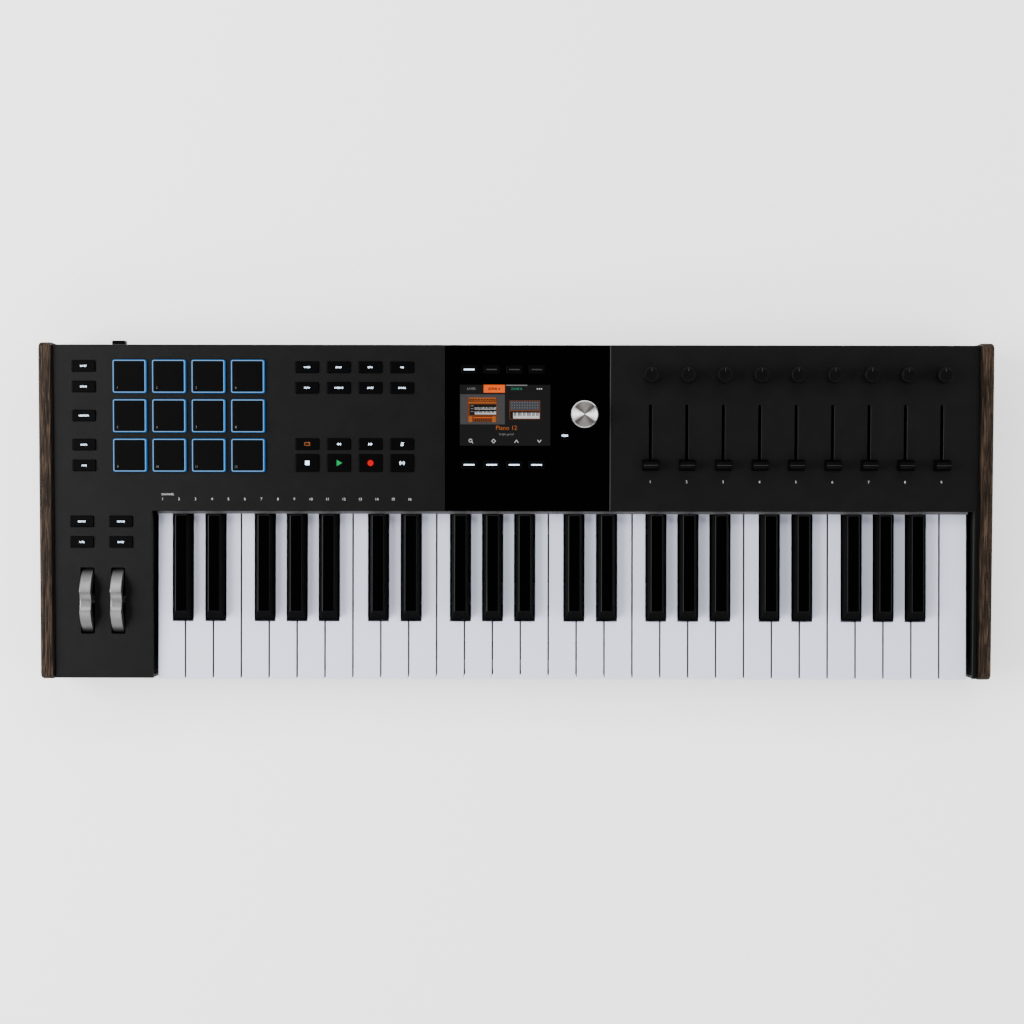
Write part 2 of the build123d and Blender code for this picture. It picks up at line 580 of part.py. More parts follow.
# ---- Contact board with a rubber dome under each key --------------------------------
DOME_BASE_RADIUS = 3.6
DOME_TOP_RADIUS = 2.4
DOME_TOP = 24.8
DOME_Y = STRIKER_Y + STRIKER_LENGTH / 2
with BuildPart() as dome:
    with BuildSketch(Plane.XY.offset(BOARD_BASE + BOARD_THICK)):
        Circle(DOME_BASE_RADIUS)
    with BuildSketch(Plane.XY.offset(DOME_TOP)):
        Circle(DOME_TOP_RADIUS)
    loft()
with BuildPart() as key_contact_board:
    with BuildSketch(Plane.XY.offset(BOARD_BASE)):
        rectangle_between(KEYS_LEFT, KEYS_RIGHT, BOARD_RIBS[0][0], BOARD_RIBS[1][1])
    extrude(amount=BOARD_THICK)
    with Locations(*[(x, DOME_Y) for x in KEY_CENTRES]):
        add(dome.part)
key_contact_board.part.label = "key_contact_board"
export_step(key_contact_board.part, "parts/key_contact_board.step")

# ---- Pads ---------------------------------------------------------------------------
with BuildPart() as pads:
    with BuildSketch(panel.offset(PAD_RISE)):
        with Locations(*PAD_CENTRES):
            RectangleRounded(PAD_SIZE, PAD_SIZE, PAD_CORNER)
    extrude(amount=-(PAD_RISE + PAD_DEPTH))
    with BuildSketch(panel.offset(-PAD_DEPTH)):
        with Locations(*PAD_CENTRES):
            RectangleRounded(PAD_SIZE + 2 * FLANGE, PAD_SIZE + 2 * FLANGE, PAD_CORNER)
    extrude(amount=FLANGE_THICK)
    pad_tops = pads.faces().filter_by(lambda f: f.normal_at().dot(panel.z_dir) > 0.999)
    fillet(pad_tops.group_by(SortBy.AREA)[-1].edges(), 0.9)
pads.part.label = "pads"
export_step(pads.part, "parts/pads.step")


# ---- Buttons ------------------------------------------------------------------------
def button_caps(centres, size, rise):
    """Caps of one size, standing in the panel's openings on flanges that retain them."""
    length, width = size
    with BuildPart() as caps:
        with BuildSketch(panel.offset(rise)):
            with Locations(*centres):
                RectangleRounded(length, width, BUTTON_CORNER)
        extrude(amount=-(rise + BUTTON_DEPTH))
        tops = caps.faces().filter_by(lambda f: f.normal_at().dot(panel.z_dir) > 0.999)
        fillet(tops.edges(), 0.35)
        with BuildSketch(panel.offset(-BUTTON_DEPTH)):
            with Locations(*centres):
                RectangleRounded(length + 2 * FLANGE, width + 2 * FLANGE, BUTTON_CORNER)
        extrude(amount=FLANGE_THICK)
    return caps.part


small_transport = button_caps(SMALL_TRANSPORT, BUTTON, BUTTON_RISE)
large_transport = button_caps(LARGE_TRANSPORT, LARGE_BUTTON, BUTTON_RISE)
screen_caps = button_caps(SCREEN_CENTRES, SCREEN_BUTTON, SCREEN_RISE)
with BuildPart() as back_cap:
    with BuildSketch(panel.offset(SCREEN_RISE)):
        with Locations(BACK_CENTRE):
            Circle(BACK_RADIUS)
    extrude(amount=-(SCREEN_RISE + BUTTON_DEPTH))
    with BuildSketch(panel.offset(-BUTTON_DEPTH)):
        with Locations(BACK_CENTRE):
            Circle(BACK_RADIUS + FLANGE)
    extrude(amount=FLANGE_THICK)

with BuildPart() as side_buttons:
    add(button_caps(SIDE_CENTRES + OCTAVE_CENTRES, BUTTON, BUTTON_RISE))
side_buttons.part.label = "side_buttons"
export_step(side_buttons.part, "parts/side_buttons.step")

with BuildPart() as mode_buttons:
    add(button_caps(MODE_CENTRES, BUTTON, BUTTON_RISE))
mode_buttons.part.label = "mode_buttons"
export_step(mode_buttons.part, "parts/mode_buttons.step")

with BuildPart() as transport_buttons:
    add([small_transport, large_transport])
transport_buttons.part.label = "transport_buttons"
export_step(transport_buttons.part, "parts/transport_buttons.step")

with BuildPart() as display_buttons:
    add([screen_caps, back_cap.part])
display_buttons.part.label = "display_buttons"
export_step(display_buttons.part, "parts/display_buttons.step")

# ---- Encoder knobs and faders, nine of each -------------------------------------------
KNOB_BORE_TOP = 10.0
SHAFT_END = -9.0
for number, u in enumerate(STRIP_COLUMNS, start=1):
    with BuildPart() as encoder_knob:
        with BuildSketch(panel.offset(ENCODER_LIFT)):
            with Locations((u, ENCODER_V)):
                Circle(ENCODER_BASE_RADIUS)
        with BuildSketch(panel.offset(ENCODER_RISE)):
            with Locations((u, ENCODER_V)):
                Circle(ENCODER_TOP_RADIUS)
        loft()
        fillet(encoder_knob.edges().sort_by(Axis.Z)[-1], 0.8)
        with BuildSketch(panel.offset(ENCODER_LIFT)):
            with Locations((u, ENCODER_V)):
                Circle(SHAFT_RADIUS)
        extrude(amount=KNOB_BORE_TOP - ENCODER_LIFT, mode=Mode.SUBTRACT)
    with BuildPart() as shaft:
        with BuildSketch(panel.offset(SHAFT_END)):
            with Locations((u, ENCODER_V)):
                Circle(SHAFT_RADIUS)
        extrude(amount=KNOB_BORE_TOP - SHAFT_END)
    knob_on_shaft = Compound(children=[encoder_knob.part, shaft.part])
    knob_on_shaft.label = f"encoder_knob_{number}"
    export_step(knob_on_shaft, f"parts/encoder_knob_{number}.step")

for number, u in enumerate(STRIP_COLUMNS, start=1):
    with BuildPart() as fader:
        with BuildSketch(panel.offset(FADER_LIFT)):
            with Locations((u, FADER_REST)):
                RectangleRounded(*FADER_BASE, 1.0)
        with BuildSketch(panel.offset(FADER_RISE)):
            with Locations((u, FADER_REST)):
                RectangleRounded(*FADER_TOP, 1.0)
        loft()
        with BuildSketch(panel.offset(FADER_LIFT)):
            with Locations((u, FADER_REST)):
                Rectangle(*STEM)
        extrude(amount=-(FADER_LIFT + 8.0))
    fader.part.label = f"fader_{number}"
    export_step(fader.part, f"parts/fader_{number}.step")

# ---- Main encoder: a hollow-shafted knob on a push spindle ------------------------------
MAIN_SHAFT_END = -8.0
PLUNGER_END = -8.7
PLUNGER_TOP = 8.0
with BuildPart() as main_knob:
    with BuildSketch(panel.offset(MAIN_LIFT)):
        with Locations(MAIN_CENTRE):
            Circle(MAIN_RADIUS)
    extrude(amount=MAIN_RISE - MAIN_LIFT)
    chamfer(main_knob.edges().sort_by(Axis.Z)[-1], 0.9)
    with BuildSketch(panel.offset(MAIN_LIFT)):
        with Locations(MAIN_CENTRE):
            Circle(MAIN_SHAFT_RADIUS)
    extrude(amount=MAIN_SHAFT_END - MAIN_LIFT)
    with BuildSketch(panel.offset(MAIN_SHAFT_END)):
        with Locations(MAIN_CENTRE):
            Circle(PLUNGER_RADIUS + RUNNING_GAP)
    extrude(amount=PLUNGER_TOP - MAIN_SHAFT_END, mode=Mode.SUBTRACT)
main_knob.part.label = "main_knob"
export_step(main_knob.part, "parts/main_knob.step")

with BuildPart() as main_knob_spindle:
    with BuildSketch(panel.offset(PLUNGER_END)):
        with Locations(MAIN_CENTRE):
            Circle(PLUNGER_RADIUS)
    extrude(amount=PLUNGER_TOP - 0.05 - PLUNGER_END)
    with BuildSketch(panel.offset(PLUNGER_END)):
        with Locations(MAIN_CENTRE):
            Circle(MAIN_SHAFT_RADIUS)
    extrude(amount=0.6)
main_knob_spindle.part.label = "main_knob_spindle"
export_step(main_knob_spindle.part, "parts/main_knob_spindle.step")

# ---- Wheels: a rim, web and hub, cut flat below, with a finger notch in the rim ---------
WHEEL_FLAT = 10.0
RIM_THICK = 3.2
WEB_THICK = 2.4
HUB_RADIUS = 5.5
HUB_WIDTH = 10.3
NOTCH_RADIUS = 12.8
NOTCH_DEPTH = 4.2
wheel_axis = on_panel(0, WHEEL_V, AXLE_W)
for node, u in WHEEL_COLUMNS.items():
    wheel_plane = Plane(origin=(u, wheel_axis.Y, wheel_axis.Z), x_dir=panel.y_dir, z_dir=(1, 0, 0))
    with BuildPart() as wheel:
        with BuildSketch(wheel_plane.offset(-WHEEL_WIDTH / 2)):
            Circle(WHEEL_RADIUS)
            Circle(WHEEL_RADIUS - RIM_THICK - NOTCH_DEPTH, mode=Mode.SUBTRACT)
        extrude(amount=WHEEL_WIDTH)
        with BuildSketch(wheel_plane.offset(-WEB_THICK / 2)):
            Circle(WHEEL_RADIUS - RIM_THICK)
        extrude(amount=WEB_THICK)
        with BuildSketch(wheel_plane.offset(-HUB_WIDTH / 2)):
            Circle(HUB_RADIUS)
        extrude(amount=HUB_WIDTH)
        with BuildSketch(wheel_plane.offset(-WHEEL_WIDTH)):
            Circle(AXLE_RADIUS + RUNNING_GAP)
            with Locations((0, WHEEL_RADIUS - NOTCH_DEPTH + NOTCH_RADIUS)):
                Circle(NOTCH_RADIUS)
            with Locations((0, -WHEEL_FLAT - WHEEL_RADIUS / 2)):
                Rectangle(2 * WHEEL_RADIUS, WHEEL_RADIUS)
        extrude(amount=2 * WHEEL_WIDTH, mode=Mode.SUBTRACT)
        ridges = wheel.edges().filter_by(Axis.X).group_by(Axis.Z)[-1]
        fillet(ridges, 1.0)
        rim_edges = wheel.edges().filter_by(GeomType.CIRCLE)
        rim_edges = rim_edges.filter_by(lambda e: abs(e.radius - WHEEL_RADIUS) < 0.01)
        fillet(rim_edges, 0.8)
    wheel.part.label = node
    export_step(wheel.part, f"parts/{node}.step")

CRADLE_UPRIGHTS = [(-371.0, -368.0), (-349.2, -346.2), (-327.2, -324.2)]
CRADLE_TOP = wheel_axis.Z + 5
CRADLE_DEPTH = 14.0
CRADLE_BASE = 2.0
with BuildPart() as wheel_cradle:
    with BuildSketch(Plane.XY.offset(TRAY_FLOOR)):
        rectangle_between(
            CRADLE_UPRIGHTS[0][0],
            CRADLE_UPRIGHTS[-1][1],
            wheel_axis.Y - CRADLE_DEPTH,
            wheel_axis.Y + CRADLE_DEPTH,
        )
    extrude(amount=CRADLE_BASE)
    with BuildSketch(Plane.XY.offset(TRAY_FLOOR)):
        for left, right in CRADLE_UPRIGHTS:
            rectangle_between(left, right, wheel_axis.Y - CRADLE_DEPTH / 2, wheel_axis.Y + CRADLE_DEPTH / 2)
    extrude(amount=CRADLE_TOP - TRAY_FLOOR)
    with BuildSketch(Plane.YZ.offset(CRADLE_UPRIGHTS[0][0])):
        with Locations((wheel_axis.Y, wheel_axis.Z)):
            Circle(AXLE_RADIUS)
    extrude(amount=CRADLE_UPRIGHTS[-1][1] - CRADLE_UPRIGHTS[0][0])
wheel_cradle.part.label = "wheel_cradle"
export_step(wheel_cradle.part, "parts/wheel_cradle.step")

# ---- Electronics under the panel ----------------------------------------------------------
with BuildPart() as encoder_bodies:
    with BuildSketch(panel.offset(BODY_BASE_W)):
        with Locations(*[(u, ENCODER_V) for u in STRIP_COLUMNS]):
            Rectangle(12.0, 12.5)
            Circle(SHAFT_RADIUS + RUNNING_GAP, mode=Mode.SUBTRACT)
        with Locations(MAIN_CENTRE):
            Rectangle(12.5, 14.0)
            Circle(MAIN_SHAFT_RADIUS + RUNNING_GAP, mode=Mode.SUBTRACT)
    extrude(amount=BODY_TOP_W - BODY_BASE_W)
encoder_bodies.part.label = "encoder_bodies"
export_step(encoder_bodies.part, "parts/encoder_bodies.step")

POT_WIDTH = 9.0
with BuildPart() as slide_pots:
    with BuildSketch(panel.offset(BODY_BASE_W)):
        with Locations(*[(u, (SLOT_FRONT + SLOT_REAR) / 2) for u in STRIP_COLUMNS]):
            Rectangle(POT_WIDTH, SLOT_REAR - SLOT_FRONT + 8)
    extrude(amount=BODY_TOP_W - BODY_BASE_W)
    with BuildSketch(panel.offset(BODY_TOP_W)):
        with Locations(*[(u, (SLOT_FRONT + SLOT_REAR) / 2) for u in STRIP_COLUMNS]):
            Rectangle(STEM[0] + 2 * MOVING_GAP, SLOT_REAR - SLOT_FRONT + 1)
    extrude(amount=-5.6, mode=Mode.SUBTRACT)
slide_pots.part.label = "slide_pots"
export_step(slide_pots.part, "parts/slide_pots.step")

SWITCH_CENTRES = PAD_CENTRES + SIDE_CENTRES + OCTAVE_CENTRES + MODE_CENTRES + SMALL_TRANSPORT
SWITCH_CENTRES += LARGE_TRANSPORT + SCREEN_CENTRES + [BACK_CENTRE]
with BuildPart() as control_boards:
    with BuildSketch(panel.offset(BOARD_W)):
        for left, right, low, high in BOARDS.values():
            rectangle_between(left, right, low, high)
    extrude(amount=-BOARD_THICK)
    with BuildSketch(panel.offset(BOARD_W)):
        with Locations(*SWITCH_CENTRES):
            Rectangle(6.0, 6.0)
    extrude(amount=SWITCH_HEIGHT)
control_boards.part.label = "control_boards"
export_step(control_boards.part, "parts/control_boards.step")

MAIN_BOARD = (-350.0, -55.0, 66.0, 126.0)
SWITCH_TOP = 49.2
SWITCH_BODY = 7.0
with BuildPart() as main_board:
    with BuildSketch(Plane.XY.offset(MAIN_BOARD_Z)):
        rectangle_between(*MAIN_BOARD)
    extrude(amount=BOARD_THICK)
    with BuildSketch(Plane.XY.offset(TRAY_FLOOR)):
        with Locations(*[(x, y) for x in (-342, -196, -63) for y in (72, 120)]):
            Circle(3.0)
    extrude(amount=MAIN_BOARD_Z - TRAY_FLOOR)
    with BuildSketch(Plane.XY.offset(MAIN_BOARD_Z + BOARD_THICK)):
        with Locations((-240, 90), (-120, 88)):
            Rectangle(16, 16)
        with Locations((-290, 86), (-180, 86)):
            Rectangle(10, 7)
    extrude(amount=1.5)
    # A riser carries the power switch up to its button in the rear wall.
    with BuildSketch(Plane.XY.offset(MAIN_BOARD_Z + BOARD_THICK)):
        with Locations((POWER_X, 114.0)):
            Rectangle(13.0, BOARD_THICK)
    extrude(amount=SWITCH_TOP - MAIN_BOARD_Z - BOARD_THICK)
    with BuildSketch(Plane.XY.offset(SWITCH_TOP)):
        with Locations((POWER_X, 119.5)):
            Rectangle(11.0, 11.0)
        with Locations((POWER_X, 128.0)):
            Rectangle(3.0, 6.0)
    extrude(amount=-SWITCH_BODY)
main_board.part.label = "main_board"
export_step(main_board.part, "parts/main_board.step")

# ---- Rear sockets and the power button -----------------------------------------------------
SOCKET_BASE = MAIN_BOARD_Z + BOARD_THICK
INNER_WALL = REAR_WALL - TRAY_WALL
rear = Plane(origin=(0, REAR_WALL, 0), x_dir=(-1, 0, 0), z_dir=(0, 1, 0))

with BuildPart() as pedal_jacks:
    with BuildSketch(Plane.XY.offset(SOCKET_BASE)):
        with Locations(*[(x, INNER_WALL - 13.1) for x in JACK_X]):
            Rectangle(16.0, 26.0)
    extrude(amount=18.0)
    with BuildSketch(rear.offset(-TRAY_WALL - 0.2)):
        with Locations(*[(-x, SOCKET_Z) for x in JACK_X]):
            Circle(JACK_SLEEVE)
    extrude(amount=TRAY_WALL + 0.2)
    with BuildSketch(rear):
        with Locations(*[(-x, SOCKET_Z) for x in JACK_X]):
            Circle(JACK_NUT)
    extrude(amount=1.8)
    with BuildSketch(rear.offset(1.8)):
        with Locations(*[(-x, SOCKET_Z) for x in JACK_X]):
            Circle(JACK_BORE)
    extrude(amount=-26.0, mode=Mode.SUBTRACT)
pedal_jacks.part.label = "pedal_jacks"
export_step(pedal_jacks.part, "parts/pedal_jacks.step")

with BuildPart() as data_sockets:
    with BuildSketch(Plane.XY.offset(SOCKET_BASE)):
        with Locations(*[(x, INNER_WALL - 8.1) for x in DIN_X]):
            Rectangle(20.0, 16.0)
    extrude(amount=21.0)
    with BuildSketch(rear.offset(-TRAY_WALL - 0.2)):
        with Locations(*[(-x, SOCKET_Z) for x in DIN_X]):
            Circle(DIN_SHELL)
    extrude(amount=TRAY_WALL + 0.2)
    with BuildSketch(rear):
        with Locations(*[(-x, SOCKET_Z) for x in DIN_X]):
            Circle(DIN_BORE)
    extrude(amount=-9.0, mode=Mode.SUBTRACT)
    # The USB-C receptacle, with its tongue.
    with BuildSketch(rear.offset(-0.3)):
        with Locations((-USB_X, USB_Z)):
            RectangleRounded(8.94, 3.26, 1.5)
            RectangleRounded(8.34, 2.66, 1.2, mode=Mode.SUBTRACT)
    extrude(amount=-8.0)
    with BuildSketch(rear.offset(-1.5)):
        with Locations((-USB_X, USB_Z)):
            Rectangle(6.7, 0.7)
    extrude(amount=-7.8)
    with BuildSketch(rear.offset(-8.3)):
        with Locations((-USB_X, (USB_Z + 1.7 + SOCKET_BASE) / 2)):
            Rectangle(9.4, USB_Z + 1.7 - SOCKET_BASE)
    extrude(amount=-5.0)
data_sockets.part.label = "data_sockets"
export_step(data_sockets.part, "parts/data_sockets.step")

POWER_PROUD = DEPTH / 2 - REAR_WALL
with BuildPart() as power_button:
    with BuildSketch(rear.offset(POWER_PROUD)):
        with Locations((-POWER_X, POWER_Z)):
            RectangleRounded(*POWER, 1.0)
    extrude(amount=-(POWER_PROUD + TRAY_WALL + 3.0))
    fillet(power_button.faces().sort_by(Axis.Y)[-1].edges(), 0.6)
    with BuildSketch(rear.offset(-TRAY_WALL - 0.3)):
        with Locations((-POWER_X, POWER_Z)):
            Rectangle(POWER[0] + 3.0, POWER[1] + 3.0)
    extrude(amount=-1.5)
power_button.part.label = "power_button"
export_step(power_button.part, "parts/power_button.step")

# ---- Feet and screws -------------------------------------------------------------------------
FOOT_RADIUS = 9.0
FEET = [(x, y) for x in (-350.0, 0.0, 350.0) for y in (-116.0, 112.0)]
with BuildPart() as rubber_feet:
    with BuildSketch():
        with Locations(*FEET):
            Circle(FOOT_RADIUS)
    extrude(amount=FOOT_HEIGHT)
    fillet(rubber_feet.edges().group_by(Axis.Z)[0], 1.0)
rubber_feet.part.label = "rubber_feet"
export_step(rubber_feet.part, "parts/rubber_feet.step")

with BuildPart() as case_screws:
    with BuildSketch(Plane.XY.offset(FOOT_HEIGHT)):
        with Locations(*(CASE_POSTS + KEYBED_SCREWS)):
            Circle(HEAD_RADIUS)
            Rectangle(3.4, 0.8, mode=Mode.SUBTRACT)
            Rectangle(0.8, 3.4, mode=Mode.SUBTRACT)
    extrude(amount=HEAD_HEIGHT)
    with BuildSketch(Plane.XY.offset(FOOT_HEIGHT + HEAD_HEIGHT)):
        with Locations(*CASE_POSTS):
            Circle(SCREW_RADIUS)
    extrude(amount=12.0)
    with BuildSketch(Plane.XY.offset(FOOT_HEIGHT + HEAD_HEIGHT)):
        with Locations(*KEYBED_SCREWS):
            Circle(SCREW_RADIUS)
    extrude(amount=3.5)
    # Three screws join each cheek to the tray's side wall.
    for side in (-1, 1):
        with BuildSketch(Plane.YZ.offset(side * (TRAY_HALF - TRAY_WALL - HEAD_HEIGHT))):
            with Locations(*CHEEK_SCREWS):
                Circle(HEAD_RADIUS)
        extrude(amount=side * HEAD_HEIGHT)
        with BuildSketch(Plane.YZ.offset(side * (TRAY_HALF - TRAY_WALL))):
            with Locations(*CHEEK_SCREWS):
                Circle(SCREW_RADIUS)
        extrude(amount=side * (TRAY_WALL + 7.0))
case_screws.part.label = "case_screws"
export_step(case_screws.part, "parts/case_screws.step")
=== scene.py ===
"""Looks for the keyboard controller: materials, legends and detailed controls on the CAD frame."""

from math import atan2, cos, pi, sin

import bmesh
import bpy
import json
from mathutils import Matrix, Vector


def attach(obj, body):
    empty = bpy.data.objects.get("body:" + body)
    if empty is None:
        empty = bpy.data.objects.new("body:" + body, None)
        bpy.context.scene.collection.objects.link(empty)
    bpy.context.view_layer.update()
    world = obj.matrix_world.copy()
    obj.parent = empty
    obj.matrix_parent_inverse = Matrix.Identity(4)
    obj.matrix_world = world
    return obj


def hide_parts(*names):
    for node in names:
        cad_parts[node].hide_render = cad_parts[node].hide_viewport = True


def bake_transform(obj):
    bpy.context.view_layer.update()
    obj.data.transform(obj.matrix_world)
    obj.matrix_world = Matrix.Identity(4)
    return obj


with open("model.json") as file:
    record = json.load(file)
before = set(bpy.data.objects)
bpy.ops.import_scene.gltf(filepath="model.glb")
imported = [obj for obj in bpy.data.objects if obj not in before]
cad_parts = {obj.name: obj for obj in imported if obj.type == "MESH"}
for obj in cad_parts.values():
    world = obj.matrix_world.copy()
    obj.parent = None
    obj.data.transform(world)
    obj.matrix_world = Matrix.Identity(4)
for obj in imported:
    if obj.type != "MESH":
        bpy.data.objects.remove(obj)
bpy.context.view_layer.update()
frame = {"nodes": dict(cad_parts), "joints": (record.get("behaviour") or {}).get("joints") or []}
nodes = frame["nodes"]
MM = 0.001


# ---- The control panel's own plane ----------------------------------------------------
def joint_named(name):
    """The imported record's joint of that name."""
    return next(j for j in frame["joints"] if j["name"] == name)


PANEL_X = Vector((1, 0, 0))
PANEL_Y = Vector(joint_named("fader_1_travel")["axis"]).normalized()
PANEL_W = PANEL_X.cross(PANEL_Y)
PANEL_ORIGIN = Vector((0, 0, 57.0 * MM))
FASCIA_RIGHT = 79.1
FASCIA_ENDS = (-0.6, 138.4)
BUTTON_W = 1.2
SCREEN_BUTTON_W = 0.3
GLASS_W = -0.65


def on_panel(u, v, w=0.0):
    """Row-frame point, in metres, at panel coordinates in millimetres."""
    return PANEL_ORIGIN + MM * (u * PANEL_X + v * PANEL_Y + w * PANEL_W)


def panel_matrix(u, v, w=0.0):
    """Places a piece built about its own origin, in millimetres, on the panel."""
    turn = Matrix((PANEL_X, PANEL_Y, PANEL_W)).transposed().to_4x4()
    return Matrix.Translation(on_panel(u, v, w)) @ turn @ Matrix.Scale(MM, 4)


# ---- Control positions, repeated from the CAD source, in millimetres --------------------
PADS = [(-323.9 + 33.0 * i, 46.1 + 33.0 * j) for j in (2, 1, 0) for i in range(4)]
STRIPS = [112.6 + 30.55 * i for i in range(9)]
MODE_COLUMNS = [-175.2 + 26.5 * i for i in range(4)]
SCREEN_COLUMNS = [-39.5 + 18.9 * i for i in range(4)]
SCREEN_ROWS = (118.2, 38.4)
ENCODER_V = 113.6
FADER_REST = 38.4
MAIN_CENTRE = (56.9, 80.9)
BACK_CENTRE = (40.6, 63.0)
SCREEN_CENTRE = (-9.4, 80.0)
OCTAVE = 7
KEYS_LEFT = -303.0
WHITE_PITCH = 23.6
WHITE_COUNT = 29
WHITE_NAMES = ["c", "d", "e", "f", "g", "a", "b"]
BLACK_NAMES = {0: "cs", 1: "ds", 3: "fs", 4: "gs", 5: "as"}
BLACK_SHIFT = {0: -2.0, 1: 2.0, 3: -3.5, 4: 0.0, 5: 3.5}
BLACK_HALF = 8.8
WHITE_HALF_GAP = 0.6


# ---- Material helpers ------------------------------------------------------------------
class Recipe:
    """A node material with short calls for the nodes that most surfaces share."""

    def __init__(self, name, color, roughness, metallic=0.0, specular=0.5):
        self.material = bpy.data.materials.new(name)
        self.material.use_nodes = True
        self.nodes = self.material.node_tree.nodes
        self.links = self.material.node_tree.links
        self.shader = self.nodes["Principled BSDF"]
        self.set(base=color, roughness=roughness, metallic=metallic, specular=specular)
        self.place = self.nodes.new("ShaderNodeTexCoord")

    def set(self, **values):
        """Sets the shader's own sockets."""
        sockets = {
            "base": "Base Color",
            "roughness": "Roughness",
            "metallic": "Metallic",
            "specular": "Specular IOR Level",
            "sheen": "Sheen Weight",
            "sheen_roughness": "Sheen Roughness",
            "anisotropy": "Anisotropic",
            "emission": "Emission Color",
            "glow": "Emission Strength",
        }
        for key, value in values.items():
            if isinstance(value, tuple) and len(value) == 3:
                value = (*value, 1.0)
            self.shader.inputs[sockets[key]].default_value = value

    def stretched(self, scale):
        """Object-space coordinates scaled along each axis."""
        mapping = self.nodes.new("ShaderNodeMapping")
        mapping.inputs["Scale"].default_value = scale
        self.links.new(self.place.outputs["Object"], mapping.inputs["Vector"])
        return mapping.outputs["Vector"]

    def noise(self, scale, detail=3.0, stretch=(1, 1, 1), distortion=0.0):
        """Noise in metres-based object space; scale is in cycles per metre."""
        node = self.nodes.new("ShaderNodeTexNoise")
        node.inputs["Scale"].default_value = scale
        node.inputs["Detail"].default_value = detail
        node.inputs["Distortion"].default_value = distortion
        self.links.new(self.stretched(stretch), node.inputs["Vector"])
        return node.outputs["Fac"]

    def ramp(self, value, stops):
        """Maps a value to colours at (position, colour) stops."""
        node = self.nodes.new("ShaderNodeValToRGB")
        ramp = node.color_ramp
        while len(ramp.elements) < len(stops):
            ramp.elements.new(0.5)
        for element, (position, color) in zip(ramp.elements, stops):
            element.position = position
            element.color = (*color, 1.0) if len(color) == 3 else color
        self.links.new(value, node.inputs["Fac"])
        return node.outputs["Color"]

    def span(self, value, low, high):
        """Maps 0..1 to low..high."""
        node = self.nodes.new("ShaderNodeMapRange")
        node.inputs["To Min"].default_value = low
        node.inputs["To Max"].default_value = high
        self.links.new(value, node.inputs["Value"])
        return node.outputs["Result"]

    def blend(self, factor, first, second, mode="MIX"):
        """Mixes two colours by a factor, each given as an output or a colour."""
        node = self.nodes.new("ShaderNodeMix")
        node.data_type = "RGBA"
        node.blend_type = mode
        for socket, value in ((node.inputs[0], factor), (node.inputs[6], first), (node.inputs[7], second)):
            if isinstance(value, bpy.types.NodeSocket):
                self.links.new(value, socket)
            else:
                socket.default_value = value
        return node.outputs[2]

    def facing(self, axis):
        """How far a surface turns along an axis, 0 to 1."""
        axes = self.nodes.new("ShaderNodeSeparateXYZ")
        self.links.new(self.place.outputs["Normal"], axes.inputs[0])
        size = self.nodes.new("ShaderNodeMath")
        size.operation = "ABSOLUTE"
        self.links.new(axes.outputs[axis], size.inputs[0])
        return size.outputs[0]

    def to(self, value, socket):
        """Feeds an output to one of the shader's sockets."""
        self.links.new(value, self.shader.inputs[socket])

    def bump(self, height, distance, strength=1.0):
        """Adds relief; several calls stack."""
        node = self.nodes.new("ShaderNodeBump")
        node.inputs["Strength"].default_value = strength
        node.inputs["Distance"].default_value = distance
        self.links.new(height, node.inputs["Height"])
        if self.shader.inputs["Normal"].is_linked:
            earlier = self.shader.inputs["Normal"].links[0].from_socket
            self.links.new(earlier, node.inputs["Normal"])
        self.links.new(node.outputs["Normal"], self.shader.inputs["Normal"])
        return self


def speckled(name, color, roughness, grain, depth, **values):
    """Moulded plastic, paint or rubber: fine grain relief, slow tone and gloss variation."""
    recipe = Recipe(name, color, roughness)
    recipe.set(**values)
    cloud = recipe.noise(9, 4)
    darker = tuple(c * 0.88 for c in color)
    lighter = tuple(c * 1.12 for c in color)
    recipe.to(recipe.ramp(cloud, [(0.3, darker), (0.7, lighter)]), "Base Color")
    patches = recipe.noise(60, 5)
    recipe.to(recipe.span(patches, roughness * 0.88, min(1.0, roughness * 1.12)), "Roughness")
    recipe.bump(recipe.noise(grain, 2), depth)
    return recipe.material


def polished(name, color, roughness, **values):
    """Gloss plastic: near mirror, with faint smears in the gloss and a slow waviness."""
    recipe = Recipe(name, color, roughness)
    recipe.set(**values)
    smears = recipe.noise(34, 6, stretch=(1, 0.4, 1), distortion=0.6)
    recipe.to(recipe.span(smears, roughness * 0.6, roughness * 1.5), "Roughness")
    recipe.bump(recipe.noise(22, 2), 0.00012, 0.25)
    return recipe


def key_plastic(name, color, painted_shade_color, roughness, side_roughness, axis, gloss_at, matt_at, **values):
    """Gloss keys with matt sides, painted darker as shade; the two limits say how far a face turns along the
    axis.
    """
    recipe = polished(name, color, roughness, **values)
    turned = recipe.facing(axis)
    gloss, matt = (roughness,) * 3, (side_roughness,) * 3
    for socket, top, side in (("Base Color", color, painted_shade_color), ("Roughness", gloss, matt)):
        recipe.to(recipe.ramp(turned, sorted([(gloss_at, top), (matt_at, side)])), socket)
    return recipe.material


def brushed(name, color, roughness, stretch, grain=900, depth=0.00002, **values):
    """Metal with brush lines along the axis that stretch leaves short."""
    recipe = Recipe(name, color, roughness, metallic=1.0)
    recipe.set(**values)
    lines = recipe.noise(grain, 3, stretch=stretch)
    recipe.to(recipe.span(lines, roughness * 0.8, roughness * 1.35), "Roughness")
    tone = recipe.noise(25, 3)
    lighter = tuple(min(1.0, c * 1.08) for c in color)
    darker = tuple(c * 0.88 for c in color)
    recipe.to(recipe.ramp(tone, [(0.35, darker), (0.65, lighter)]), "Base Color")
    recipe.bump(lines, depth)
    return recipe.material


